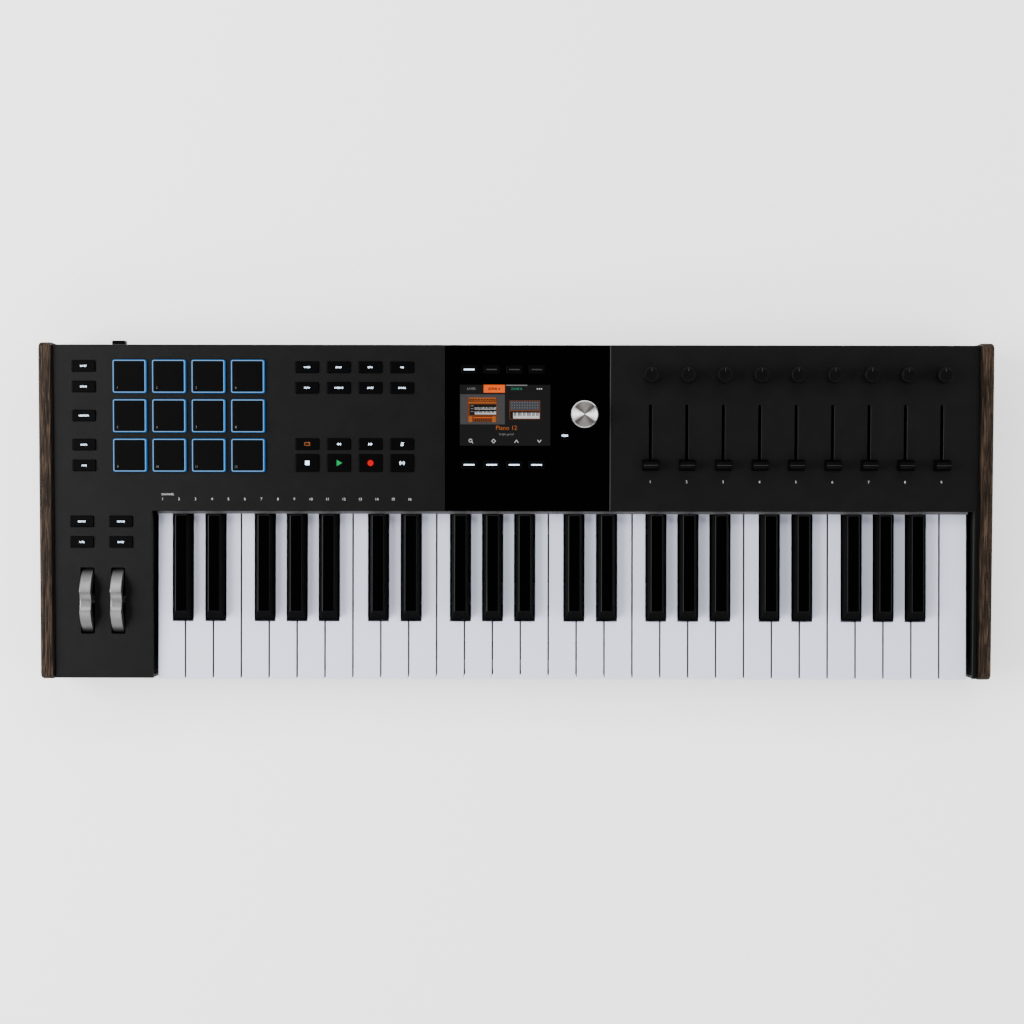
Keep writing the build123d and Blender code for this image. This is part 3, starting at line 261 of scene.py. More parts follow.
def glowing(name, color, strength):
    """A lit legend: emission with a slight unevenness, as light through a thin window."""
    recipe = Recipe(name, tuple(c * 0.05 for c in color), 0.3, specular=0.08)
    recipe.set(emission=color, glow=strength)
    uneven = recipe.noise(700, 2)
    dimmer = tuple(c * 0.86 for c in color)
    recipe.to(recipe.ramp(uneven, [(0.3, dimmer), (0.6, color)]), "Emission Color")
    return recipe.material


def printed(name, color):
    """Screen-printed ink, slightly broken up."""
    recipe = Recipe(name, color, 0.6)
    worn = recipe.noise(1800, 3)
    recipe.to(recipe.ramp(worn, [(0.3, tuple(c * 0.75 for c in color)), (0.6, color)]), "Base Color")
    return recipe.material


def walnut():
    """Oiled walnut: straight fine grain along the cheek, dark pores and slow colour bands."""
    recipe = Recipe("walnut_oiled", (0.03, 0.02, 0.013), 0.5, specular=0.09)
    grain = recipe.noise(1150, 4, stretch=(1, 0.03, 0.6), distortion=0.2)
    bands = recipe.ramp(
        grain,
        [
            (0.36, (0.0045, 0.0027, 0.0018)),
            (0.46, (0.0155, 0.0098, 0.0065)),
            (0.54, (0.03, 0.0195, 0.0128)),
            (0.66, (0.076, 0.0505, 0.034)),
        ],
    )
    cloud = recipe.noise(30, 3, stretch=(1, 0.3, 1))
    slow = recipe.ramp(cloud, [(0.3, (0.72, 0.7, 0.67)), (0.7, (1.15, 1.12, 1.08))])
    toned = recipe.blend(1.0, bands, slow, "MULTIPLY")
    pores = recipe.noise(2600, 3, stretch=(1, 0.025, 1))
    pore_mask = recipe.ramp(pores, [(0.38, (0.3, 0.27, 0.25)), (0.5, (1, 1, 1))])
    recipe.to(recipe.blend(1.0, toned, pore_mask, "MULTIPLY"), "Base Color")
    recipe.to(recipe.span(pores, 0.68, 0.42), "Roughness")
    recipe.bump(pores, 0.00025, 0.6)
    recipe.bump(grain, 0.0003, 0.3)
    return recipe.material


def spun_aluminium():
    """Lathe-turned face: fine rings about the knob's axis, a circular anisotropy and a painted highlight and
    painted shade in its colour.
    """
    recipe = Recipe("spun_aluminium_face", (0.93, 0.91, 0.89), 0.36, metallic=0.96)
    recipe.set(anisotropy=0.97)
    # The turning marks scatter light outwards from the axis, so the tangent is the radius.
    radius = recipe.nodes.new("ShaderNodeVectorTransform")
    radius.vector_type = "VECTOR"
    radius.convert_from = "OBJECT"
    radius.convert_to = "WORLD"
    recipe.links.new(recipe.stretched((1, 1, 0)), radius.inputs["Vector"])
    recipe.links.new(radius.outputs["Vector"], recipe.shader.inputs["Tangent"])
    rings = recipe.nodes.new("ShaderNodeTexWave")
    rings.wave_type = "RINGS"
    rings.rings_direction = "Z"
    rings.inputs["Scale"].default_value = 0.9
    rings.inputs["Distortion"].default_value = 0.6
    recipe.links.new(recipe.place.outputs["Object"], rings.inputs["Vector"])
    recipe.bump(rings.outputs["Fac"], 0.012, 0.12)
    recipe.to(recipe.span(rings.outputs["Fac"], 0.33, 0.4), "Roughness")
    # Painted highlight and painted shade: the base colour is bright in wedges to either side along x and dark
    # across them, as turned metal shows under side light.
    way = recipe.nodes.new("ShaderNodeVectorMath")
    way.operation = "NORMALIZE"
    recipe.links.new(recipe.stretched((1, 1, 0)), way.inputs[0])
    across = recipe.nodes.new("ShaderNodeSeparateXYZ")
    recipe.links.new(way.outputs["Vector"], across.inputs[0])
    square = recipe.nodes.new("ShaderNodeMath")
    square.operation = "MULTIPLY"
    for socket in square.inputs[:2]:
        recipe.links.new(across.outputs["X"], socket)
    painted_light_wedges = [
        (0.0, (0.27, 0.255, 0.245)),
        (0.6, (0.2, 0.19, 0.18)),
        (0.74, (0.72, 0.7, 0.69)),
        (1.0, (1.0, 0.99, 0.98)),
    ]
    recipe.to(recipe.ramp(square.outputs[0], painted_light_wedges), "Base Color")
    return recipe.material


def felt():
    """Woven grey-lavender felt with a soft nap."""
    recipe = Recipe("felt_grey", (0.32, 0.3, 0.38), 0.95)
    recipe.set(sheen=0.5, sheen_roughness=0.5)
    nap = recipe.noise(2400, 5)
    recipe.to(recipe.ramp(nap, [(0.3, (0.07, 0.069, 0.077)), (0.7, (0.145, 0.142, 0.158))]), "Base Color")
    recipe.bump(nap, 0.0003, 0.8)
    return recipe.material


def circuit_board():
    """Green solder mask over faint copper runs."""
    recipe = Recipe("circuit_board", (0.02, 0.12, 0.05), 0.35)
    runs = recipe.nodes.new("ShaderNodeTexBrick")
    runs.inputs["Scale"].default_value = 160
    runs.inputs["Color1"].default_value = (0.018, 0.12, 0.05, 1)
    runs.inputs["Color2"].default_value = (0.02, 0.14, 0.06, 1)
    runs.inputs["Mortar"].default_value = (0.06, 0.24, 0.1, 1)
    recipe.links.new(recipe.place.outputs["Object"], runs.inputs["Vector"])
    recipe.to(runs.outputs["Color"], "Base Color")
    recipe.bump(runs.outputs["Fac"], 0.00003)
    return recipe.material


# Moulded and painted surfaces: colour, roughness, grain in cycles per metre, its depth and the gloss.
PANEL = speckled("panel_charcoal", (0.0021, 0.0021, 0.0022), 0.44, 3200, 0.00006, specular=0.15)
TRAY = speckled("tray_black", (0.017, 0.017, 0.018), 0.6, 1400, 0.0002)
KNOB = speckled("knob_black", (0.0018, 0.0018, 0.002), 0.46, 5200, 0.00003, specular=0.055)
BUTTON = speckled("button_black", (0.0006, 0.0006, 0.0008), 0.4, 5000, 0.00002, specular=0.05)
PAD_TOP = speckled("pad_silicone", (0.0014, 0.0014, 0.0014), 0.6, 3600, 0.00008, specular=0.028)
FADER = speckled("fader_black", (0.0007, 0.0007, 0.0008), 0.42, 5200, 0.00003, specular=0.03)
RUBBER = speckled("foot_rubber", (0.014, 0.014, 0.014), 0.85, 1800, 0.0003)
MOULDING = speckled("moulded_black", (0.014, 0.014, 0.015), 0.5, 2200, 0.0001)
# A lighter grey for the strip that paints a highlight along the fascia's right edge.
EDGE_HIGHLIGHT = speckled("fascia_painted_highlight", (0.035, 0.035, 0.035), 0.4, 3000, 0.00002, specular=0.4)

# Gloss plastics, the keys among them.
FASCIA = polished("fascia_gloss", (0.0003, 0.0003, 0.0004), 0.07, specular=0.12).material
GLASS = polished("display_gloss", (0.0003, 0.0003, 0.0004), 0.06, specular=0.12).material
# The white keys' sides, facing each other across the gaps, are near black: painted shade in the seams.
KEY_WHITE = key_plastic(
    "key_white", (0.66, 0.685, 0.83), (0.03, 0.03, 0.035), 0.2, 0.5, "X", 0.8, 0.95, specular=0.4
)
# The black keys' sides are a little darker than their tops: painted shade.
KEY_BLACK = key_plastic(
    "key_black", (0.0004, 0.0004, 0.0005), (0.0003, 0.0003, 0.0004), 0.15, 1.0, "Z", 0.85, 0.65, specular=0.07
)

# Metals, brushed along the axis that the third value leaves short.
WHEEL = brushed("wheel_silver", (0.205, 0.205, 0.205), 0.36, (0.05, 1, 1), depth=0.00003)
SHEET = brushed("zinc_sheet", (0.42, 0.43, 0.44), 0.42, (0.15, 1, 1), grain=500)
STEEL = brushed("ground_steel", (0.55, 0.55, 0.56), 0.3, (0.05, 1, 1))
SIDE_METAL = brushed("knob_side_metal", (0.62, 0.62, 0.62), 0.2, (1, 1, 0.1), grain=1200)
SPUN = spun_aluminium()

WOOD = walnut()
FELT = felt()
BOARD = circuit_board()

# Printed ink and lit windows.
INK = printed("ink_white", (0.5, 0.5, 0.5))
PAD_INK = printed("ink_grey", (0.1, 0.105, 0.115))
KNOB_TICK = printed("tick_grey", (0.012, 0.012, 0.0125))
FADER_LINE = printed("line_grey", (0.009, 0.009, 0.0095))
UNLIT = printed("bar_dark", (0.0016, 0.0016, 0.0017))
LIT = glowing("legend_white", (0.66, 0.82, 1.0), 5.0)
GLOW_ORANGE = glowing("legend_orange", (0.5, 0.15, 0.05), 1.0)
GLOW_GREEN = glowing("legend_green", (0.0, 0.5, 0.12), 1.0)
GLOW_RED = glowing("legend_red", (0.9, 0.0, 0.004), 1.0)
RIM_FACE = glowing("rim_face_blue", (0.27, 0.57, 0.95), 1.05)
RIM_SIDE = glowing("rim_side_blue", (0.008, 0.17, 0.62), 0.95)
RIM_INSIDE = glowing("rim_inside_blue", (0.003, 0.035, 0.12), 1.0)


# ---- Materials on the CAD nodes ----------------------------------------------------------
def paint(node, material):
    """Gives a CAD node one material in all its slots."""
    mesh = nodes[node].data
    if not mesh.materials:
        mesh.materials.append(material)
    for index in range(len(mesh.materials)):
        mesh.materials[index] = material


NODE_MATERIALS = {
    "top_panel": PANEL,
    "display_fascia": FASCIA,
    "lcd_module": GLASS,
    "bottom_tray": TRAY,
    "left_end_cheek": WOOD,
    "right_end_cheek": WOOD,
    "keybed_frame": SHEET,
    "key_pivot_rod": STEEL,
    "key_felts": FELT,
    "key_springs": STEEL,
    "key_contact_board": BOARD,
    "main_board": BOARD,
    "control_boards": BOARD,
    "slide_pots": BUTTON,
    "encoder_bodies": SHEET,
    "wheel_cradle": MOULDING,
    "data_sockets": MOULDING,
    "pedal_jacks": MOULDING,
    "rubber_feet": RUBBER,
    "case_screws": STEEL,
    "pitch_wheel": WHEEL,
    "mod_wheel": WHEEL,
    "power_button": BUTTON,
    "main_knob_spindle": STEEL,
    "main_knob": SPUN,
    "pads": PAD_TOP,
}
for node in nodes:
    if node.startswith("white_keys"):
        NODE_MATERIALS[node] = KEY_WHITE
    elif node.startswith("black_keys"):
        NODE_MATERIALS[node] = KEY_BLACK
    elif node.endswith("buttons"):
        NODE_MATERIALS[node] = BUTTON
    elif node.startswith(("encoder_knob", "fader")):
        NODE_MATERIALS[node] = KNOB
for node, material in NODE_MATERIALS.items():
    paint(node, material)


# ---- Mesh helpers: shapes are built in panel millimetres, then set in metres -------------
def add_piece(name, mesh, material, body, bend=None):
    """Puts a mesh into the scene riding on a body; given bend points, it rides on no body and stays where it
    was built, and nothing bends.
    """
    piece = bpy.data.objects.new(name, mesh)
    bpy.context.scene.collection.objects.link(piece)
    for entry in material if isinstance(material, (list, tuple)) else [material]:
        mesh.materials.append(entry)
    if bend:
        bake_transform(piece)
    else:
        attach(piece, body)
    return piece


def mesh_from(bm, name, matrix=None):
    """Turns a bmesh into a mesh, moved by a matrix if one is given."""
    bmesh.ops.recalc_face_normals(bm, faces=bm.faces)
    mesh = bpy.data.meshes.new(name)
    if matrix is not None:
        bm.transform(matrix)
    bm.to_mesh(mesh)
    bm.free()
    return mesh


def smooth(mesh, angle=0.6):
    """Smooth shading, broken at edges sharper than the angle."""
    mesh.polygons.foreach_set("use_smooth", [True] * len(mesh.polygons))
    mesh.set_sharp_from_angle(angle=angle)
    return mesh


def rounded_outline(length, width, radius, steps=6):
    """Points of a rounded rectangle about the origin, anticlockwise."""
    points = []
    for corner, (sx, sy) in enumerate(((1, 1), (-1, 1), (-1, -1), (1, -1))):
        cx, cy = sx * (length / 2 - radius), sy * (width / 2 - radius)
        for step in range(steps + 1):
            turn = (corner + step / steps) * pi / 2
            points.append((cx + radius * cos(turn), cy + radius * sin(turn)))
    return points


def ring_faces(bm, rings, close_top=True, close_bottom=False, material=0):
    """Skins a stack of equal-length point rings, given as lists of (x, y, z)."""
    made = [[bm.verts.new(point) for point in ring] for ring in rings]
    for lower, upper in zip(made, made[1:]):
        for index in range(len(lower)):
            following = (index + 1) % len(lower)
            face = bm.faces.new((lower[index], lower[following], upper[following], upper[index]))
            face.material_index = material
    if close_top:
        bm.faces.new(made[-1]).material_index = material
    if close_bottom:
        bm.faces.new(list(reversed(made[0]))).material_index = material


def plate(bm, outline, low, high, material=0):
    """A thin prism on an outline of (x, y) points."""
    ring_faces(bm, [[(x, y, z) for x, y in outline] for z in (low, high)], True, True, material)


def box(bm, left, right, front, rear, low, high, material=0):
    """A block between three pairs of limits."""
    plate(bm, [(left, front), (right, front), (right, rear), (left, rear)], low, high, material)


def stroke(bm, points, width, low, high, material=0):
    """A flat line of even width through a run of points."""
    for (x0, y0), (x1, y1) in zip(points, points[1:]):
        turn = atan2(y1 - y0, x1 - x0)
        along = (cos(turn) * width / 2, sin(turn) * width / 2)
        side = (-along[1], along[0])
        corners = [
            (x0 - along[0] - side[0], y0 - along[1] - side[1]),
            (x1 + along[0] - side[0], y1 + along[1] - side[1]),
            (x1 + along[0] + side[0], y1 + along[1] + side[1]),
            (x0 - along[0] + side[0], y0 - along[1] + side[1]),
        ]
        plate(bm, corners, low, high, material)


def circle_points(x, y, radius, count=20):
    """Points round a circle."""
    turns = [2 * pi * i / count for i in range(count)]
    return [(x + radius * cos(t), y + radius * sin(t)) for t in turns]


def shifted(points, x, y):
    """The same points about another centre."""
    return [(x + px, y + py) for px, py in points]


def arc_points(x, y, radius, start, end, count=12):
    """Points along an arc, angles in radians."""
    turns = [start + (end - start) * i / count for i in range(count + 1)]
    return [(x + radius * cos(t), y + radius * sin(t)) for t in turns]


def numeral(bm, text, x, y, size, level, bold=0.0):
    """Adds a number or plain word as flat faces, centred on a point."""
    curve = bpy.data.curves.new("numeral", "FONT")
    curve.body = str(text)
    curve.size = size
    curve.offset = bold
    curve.align_x = "CENTER"
    curve.align_y = "CENTER"
    curve.resolution_u = 3
    holder = bpy.data.objects.new("numeral", curve)
    mesh = bpy.data.meshes.new_from_object(holder)
    mesh.transform(Matrix.Translation((x, y, level)))
    bm.from_mesh(mesh)
    bpy.data.objects.remove(holder)
    bpy.data.curves.remove(curve)
    bpy.data.meshes.remove(mesh)


# ---- Legends: small drawn signs, each in a unit square ------------------------------------
SIGNS = {
    "bars": [[(0.1, 0.1), (0.1, 0.6)], [(0.5, 0.1), (0.5, 0.95)], [(0.9, 0.1), (0.9, 0.4)]],
    "square": [[(0.1, 0.1), (0.9, 0.1), (0.9, 0.9), (0.1, 0.9), (0.1, 0.1)]],
    "plus": [[(0.15, 0.5), (0.85, 0.5)], [(0.5, 0.15), (0.5, 0.85)]],
    "zigzag": [[(0, 0.2), (0.25, 0.85), (0.5, 0.2), (0.75, 0.85), (1, 0.2)]],
    "stairs": [[(0, 0.05), (0.34, 0.05), (0.34, 0.5), (0.67, 0.5), (0.67, 0.95), (1, 0.95)]],
    "ring": [[(0.5 + 0.45 * cos(i * pi / 6), 0.5 + 0.45 * sin(i * pi / 6)) for i in range(13)]],
    "right": [[(0.2, 0.1), (0.75, 0.5), (0.2, 0.9)]],
    "wave": [[(i / 8, 0.5 + 0.4 * sin(i * pi / 4)) for i in range(9)]],
}
SIGN_NAMES = list(SIGNS)
SIGN_STEP = 3
SIGN_SIZE = (0.95, 1.85)
SIGN_GAP = 0.4
SIGN_LINE = 0.32
FILM = 0.03


def signs_from(first, count):
    """A run of signs, so that each button's legend differs."""
    return [SIGN_NAMES[(first + SIGN_STEP * index) % len(SIGN_NAMES)] for index in range(count)]


def legend(bm, signs, u, v, level, scale=1.0):
    """A short row of signs centred on a point."""
    width = SIGN_SIZE[0] * scale
    pitch = width + SIGN_GAP * scale
    left = u - (pitch * (len(signs) - 1) + width) / 2
    bottom = v - SIGN_SIZE[1] * scale / 2
    for index, sign in enumerate(signs):
        for line in SIGNS[sign]:
            points = [(left + index * pitch + x * width, bottom + y * SIGN_SIZE[1] * scale) for x, y in line]
            stroke(bm, points, SIGN_LINE * scale, level, level + FILM)


# Signs on each side button: its centre and how many. The mode buttons' rows go by their height.
SIDE_LEGENDS = [
    (-362.4, 120.7, 5), (-362.4, 103.5, 5), (-362.4, 79.2, 8), (-362.4, 54.8, 5), (-362.4, 37.4, 4),
    (-364.7, -9.6, 6), (-332.0, -9.6, 6), (-364.7, -26.9, 4), (-332.0, -26.9, 5),
]
MODE_LEGENDS = {119.9: (5, 5, 4, 3), 102.7: (5, 7, 5, 6)}
SIDE_SCALE = 0.8
MODE_SCALE = 0.78
CLEARANCE = 0.01
LOW = BUTTON_W + CLEARANCE
HIGH = LOW + FILM


def panel_piece(name, bm, material, body):
    """A flat or raised piece given in panel millimetres."""
    return add_piece(name, mesh_from(bm, name, panel_matrix(0, 0)), material, body)


legends = bmesh.new()
for first, (u, v, count) in enumerate(SIDE_LEGENDS):
    legend(legends, signs_from(first, count), u, v, LOW, SIDE_SCALE)
panel_piece("side_legends", legends, LIT, "side_buttons")

legends = bmesh.new()
for v, counts in MODE_LEGENDS.items():
    for first, (u, count) in enumerate(zip(MODE_COLUMNS, counts)):
        legend(legends, signs_from(first + int(v), count), u, v, LOW, MODE_SCALE)
panel_piece("mode_legends", legends, LIT, "mode_buttons")

# Transport row: loop, rewind, forward and metronome above stop, play, record and tap.
SMALL_V = 55.6
LARGE_V = 39.8
loop_u, rewind_u, forward_u, metronome_u = MODE_COLUMNS
stop_u, play_u, record_u, tap_u = MODE_COLUMNS

loop_sign = bmesh.new()
for track in ([(1.2, 1.2), (-2.1, 1.2), (-2.1, -1.1)], [(-1.2, -1.1), (2.1, -1.1), (2.1, 1.2)]):
    stroke(loop_sign, shifted(track, loop_u, SMALL_V), 0.5, LOW, HIGH)
plate(loop_sign, shifted([(1.0, 0.4), (2.3, 1.2), (1.0, 2.0)], loop_u, SMALL_V), LOW, HIGH)
panel_piece("loop_sign", loop_sign, GLOW_ORANGE, "transport_buttons")

white_signs = bmesh.new()
ARROW_SHIFT = 0.9
for shift in (-ARROW_SHIFT, ARROW_SHIFT):
    for u, way in ((rewind_u, -1), (forward_u, 1)):
        arrow = [(-0.8 * way, -1.1 * way), (0.8 * way, 0), (-0.8 * way, 1.1 * way)]
        plate(white_signs, shifted(arrow, u + shift, SMALL_V), LOW, HIGH)
metronome_body = [(-1.0, -1.2), (1.0, -1.2), (0.4, 1.3), (-0.4, 1.3), (-1.0, -1.2)]
for line in (metronome_body, [(0, -0.8), (1.4, 1.3)]):
    stroke(white_signs, shifted(line, metronome_u, SMALL_V), 0.3, LOW, HIGH)
STOP_HALF = 1.75
box(white_signs, stop_u - STOP_HALF, stop_u + STOP_HALF, LARGE_V - STOP_HALF, LARGE_V + STOP_HALF, LOW, HIGH)
plate(white_signs, circle_points(tap_u, LARGE_V, 0.45), LOW, HIGH)
TAP_SPREAD = 0.8
for radius in (1.1, 2.0):
    for way in (0, pi):
        ripple = arc_points(tap_u, LARGE_V, radius, way - TAP_SPREAD, way + TAP_SPREAD)
        stroke(white_signs, ripple, 0.34, LOW, HIGH)
panel_piece("white_transport_signs", white_signs, LIT, "transport_buttons")

play_sign = bmesh.new()
plate(play_sign, shifted([(-1.9, -2.7), (2.9, 0), (-1.9, 2.7)], play_u, LARGE_V), LOW, HIGH)
panel_piece("play_sign", play_sign, GLOW_GREEN, "transport_buttons")

record_sign = bmesh.new()
plate(record_sign, circle_points(record_u, LARGE_V, 2.6, 28), LOW, HIGH)
panel_piece("record_sign", record_sign, GLOW_RED, "transport_buttons")

# Bars on the display buttons, the first lit of the upper row and all of the lower one.
screen_bars = bmesh.new()
unlit_bars = bmesh.new()
SCREEN_LEVEL = SCREEN_BUTTON_W + CLEARANCE
BAR_HALF = (4.4, 0.5)
for index, u in enumerate(SCREEN_COLUMNS):
    for v in SCREEN_ROWS:
        unlit = v == SCREEN_ROWS[0] and index > 0
        sides = u - BAR_HALF[0], u + BAR_HALF[0], v - BAR_HALF[1], v + BAR_HALF[1]
        box(unlit_bars if unlit else screen_bars, *sides, SCREEN_LEVEL, SCREEN_LEVEL + FILM)
legend(screen_bars, signs_from(2, 4), *BACK_CENTRE, SCREEN_LEVEL)
panel_piece("display_bars", screen_bars, LIT, "display_buttons")
panel_piece("unlit_bars", unlit_bars, UNLIT, "display_buttons")

# Painted highlight: a lighter strip down the right of the gloss fascia, standing in for its cut side catching
# the light.
edge = bmesh.new()
box(edge, FASCIA_RIGHT - 0.55, FASCIA_RIGHT - 0.05, *FASCIA_ENDS, -0.7, -0.25)
panel_piece("fascia_painted_highlight", edge, EDGE_HIGHLIGHT, "case")

# Printed numbers: channels over the keys and strips under the faders.
prints = bmesh.new()
CHANNEL_LEFT = -297.0
CHANNEL_PITCH = 13.84
CHANNEL_V = 9.3
STRIP_NUMBER_V = 24.2
NUMBER_SIZE = 3.0
INK_LEVEL = 0.02
for number in range(1, 17):
    u = CHANNEL_LEFT + CHANNEL_PITCH * (number - 1)
    numeral(prints, number, u, CHANNEL_V, NUMBER_SIZE, INK_LEVEL)
numeral(prints, "CHANNEL", CHANNEL_LEFT + 4.4, CHANNEL_V + 3.9, 2.3, INK_LEVEL)
for number, u in enumerate(STRIPS, start=1):
    numeral(prints, number, u, STRIP_NUMBER_V, NUMBER_SIZE, INK_LEVEL)
panel_piece("printed_numbers", prints, INK, "case")

# ---- Pads: a lit translucent rim round a black silicone top --------------------------------
PAD_OUTER = 27.8
PAD_INNER = 25.3
PAD_TOP_W = 2.5
PAD_NUMBER = (-9.8, -9.6)
# The rim's skin from its foot over the top and down inside: narrower by, corner radius, height over the top.
RIM_SKIN = [
    (0.0, 1.7, -8.5), (0.0, 1.7, -0.5), (0.5, 1.5, -0.1), (0.8, 1.4, -0.06),
    (1.9, 1.0, -0.05), (2.5, 0.8, -0.1), (2.5, 0.8, -0.9),
]
# The silicone top's dome: inset on each side and height over the rim.
CROWN = [(0.0, -0.9), (0.0, 0.0), (0.35, 0.28), (1.0, 0.36), (6.0, 0.4)]
rims = bmesh.new()
tops = bmesh.new()
pad_numbers = bmesh.new()
for number, (u, v) in enumerate(PADS, start=1):
    rings = []
    for inset, corner, rise in RIM_SKIN:
        outline = rounded_outline(PAD_OUTER - inset, PAD_OUTER - inset, corner)
        rings.append([(u + x, v + y, PAD_TOP_W + rise) for x, y in outline])
    for material, first, last in ((1, 0, 4), (0, 3, 5), (2, 4, 7)):
        ring_faces(rims, rings[first:last], False, False, material)
    stack = []
    for inset, rise in CROWN:
        side = PAD_INNER - 0.1 - 2 * inset
        outline = rounded_outline(side, side, max(0.4, 0.75 - inset * 0.1))
        stack.append([(u + x, v + y, PAD_TOP_W + rise) for x, y in outline])
    ring_faces(tops, stack)
    numeral(pad_numbers, number, u + PAD_NUMBER[0], v + PAD_NUMBER[1], 2.6, PAD_TOP_W + 0.42)
bmesh.ops.remove_doubles(rims, verts=rims.verts, dist=0.0001)
rim_piece = panel_piece("pad_rims", rims, [RIM_FACE, RIM_SIDE, RIM_INSIDE], "pads")
top_piece = panel_piece("pad_tops", tops, PAD_TOP, "pads")
smooth(rim_piece.data)
smooth(top_piece.data)
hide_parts("pads")
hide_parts("pads")
panel_piece("pad_numbers", pad_numbers, PAD_INK, "pads")


# ---- Knobs -----------------------------------------------------------------------------------
def lathe(bm, profile, count, flutes=0, depth=0.0):
    """Turns (radius, height, fluted) points about the w axis; flutes cut scallops where fluted."""
    rings = []
    for radius, height, fluted in profile:
        ring = []
        for index in range(count):
            turn = 2 * pi * index / count
            cut = depth * (0.5 - 0.5 * cos(flutes * turn)) if fluted else 0.0
            ring.append(((radius - cut) * cos(turn), (radius - cut) * sin(turn), height))
        rings.append(ring)
    ring_faces(bm, rings, True, True)


KNOB_PROFILE = [
    (6.75, 0.6, 0), (6.75, 1.6, 0), (6.6, 1.8, 1), (6.35, 12.4, 1), (6.25, 12.9, 0),
    (5.95, 13.5, 0), (5.5, 13.78, 0), (4.9, 13.6, 0), (2.5, 13.45, 0),
]
knob_bm = bmesh.new()
lathe(knob_bm, KNOB_PROFILE, 192, flutes=32, depth=0.28)
knob_mesh = smooth(mesh_from(knob_bm, "encoder_cap"))
tick_bm = bmesh.new()
stroke(tick_bm, [(0, 3.2), (0, 5.2)], 0.5, 13.62, 13.8)
tick_mesh = mesh_from(tick_bm, "encoder_tick")
for number, u in enumerate(STRIPS, start=1):
    for kind, source, material in (("cap", knob_mesh, KNOB), ("tick", tick_mesh, KNOB_TICK)):
        mesh = source.copy()
        mesh.transform(panel_matrix(u, ENCODER_V))
        knob = add_piece(f"encoder_{kind}_{number}", mesh, material, f"encoder_knob_{number}")
        if kind == "cap":
            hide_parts(f"encoder_knob_{number}")

# Main encoder: knurled side, bright chamfer and a spun face that dishes slightly.
main_bm = bmesh.new()
MAIN_SIDE = [
    (10.9, 0.9, 0), (11.25, 1.3, 0), (11.3, 1.9, 0), (11.4, 2.1, 1), (11.4, 13.2, 1), (11.3, 13.5, 0),
    (11.35, 13.7, 0), (11.35, 14.1, 0), (10.55, 14.96, 0), (10.3, 14.4, 0),
]
lathe(main_bm, MAIN_SIDE, 288, flutes=72, depth=0.22)
main_mesh = smooth(mesh_from(main_bm, "main_knob_body"))
main_mesh.transform(panel_matrix(*MAIN_CENTRE))
main_body = add_piece("main_knob_body", main_mesh, SIDE_METAL, "main_knob")
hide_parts("main_knob")

# The face keeps an origin on the knob's own axis, because its turning marks run about it.
face_bm = bmesh.new()
FACE_BASE = 14.0
FACE_PROFILE = [(10.6, 0.9), (10.5, 0.99), (10.2, 0.97), (8.0, 0.86), (5.0, 0.78), (2.0, 0.74), (0.25, 0.73)]
lathe(face_bm, [(radius, height, 0) for radius, height in FACE_PROFILE], 160)
face_mesh = smooth(mesh_from(face_bm, "main_knob_face"))
main_face = bpy.data.objects.new("main_knob_face", face_mesh)
bpy.context.scene.collection.objects.link(main_face)
main_face.matrix_world = panel_matrix(*MAIN_CENTRE, FACE_BASE)
face_mesh.materials.append(SPUN)
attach(main_face, "main_knob")

# ---- Fader caps: waisted sides, two ridges and a finger groove between them -------------------
CAP_SECTION = [
    (4.8, 0.8), (4.8, 2.0), (4.2, 4.5), (3.3, 8.0), (3.0, 10.0), (2.75, 10.75), (2.3, 11.0), (1.7, 10.8),
    (0.9, 10.25), (0.35, 10.1),
]
cap_bm = bmesh.new()
section = CAP_SECTION + [(-y, z) for y, z in reversed(CAP_SECTION)]
# One end of the cap: distance from its middle, share of its depth and share of its height.
CAP_END = [(6.9, 0.86, 0.97), (6.75, 0.95, 0.97), (6.4, 1.0, 1.0)]
CAP_LEAN = 0.05
CAP_BASE = 0.8
stations = [(-x, depth, height) for x, depth, height in CAP_END] + CAP_END[::-1]
cap_rings = []
for x, depth, height in stations:
    lean = -CAP_LEAN if x > 0 else CAP_LEAN
    ring = []
    for y, z in section:
        rise = z - CAP_BASE
        ring.append((x + lean * rise, y * depth, CAP_BASE + rise * height))
    cap_rings.append(ring)
ring_faces(cap_bm, cap_rings, True, True)
cap_mesh = smooth(mesh_from(cap_bm, "fader_cap"))
line_bm = bmesh.new()
box(line_bm, -5.9, 5.9, -0.22, 0.22, 10.02, 10.16)
line_mesh = mesh_from(line_bm, "fader_line")
for number, u in enumerate(STRIPS, start=1):
    for kind, source, material in (("cap", cap_mesh, FADER), ("line", line_mesh, FADER_LINE)):
        mesh = source.copy()
        mesh.transform(panel_matrix(u, FADER_REST))
        cap = add_piece(f"fader_{kind}_{number}", mesh, material, f"fader_{number}")
        if kind == "cap":
            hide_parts(f"fader_{number}")
    stem_bm = bmesh.new()
    box(stem_bm, u - 0.6, u + 0.6, FADER_REST - 2.5, FADER_REST + 2.5, -8.0, 0.9)
    panel_piece(f"fader_stem_{number}", stem_bm, STEEL, f"fader_{number}")

# ---- Display picture: tabs, two instrument drawings, a name and four icons ---------------------
SCREEN_LEFT = SCREEN_CENTRE[0] - 38.0
SCREEN_TOP = SCREEN_CENTRE[1] + 25.5
SCREEN_SIZE = (76.0, 51.0)
LAYER = 0.012


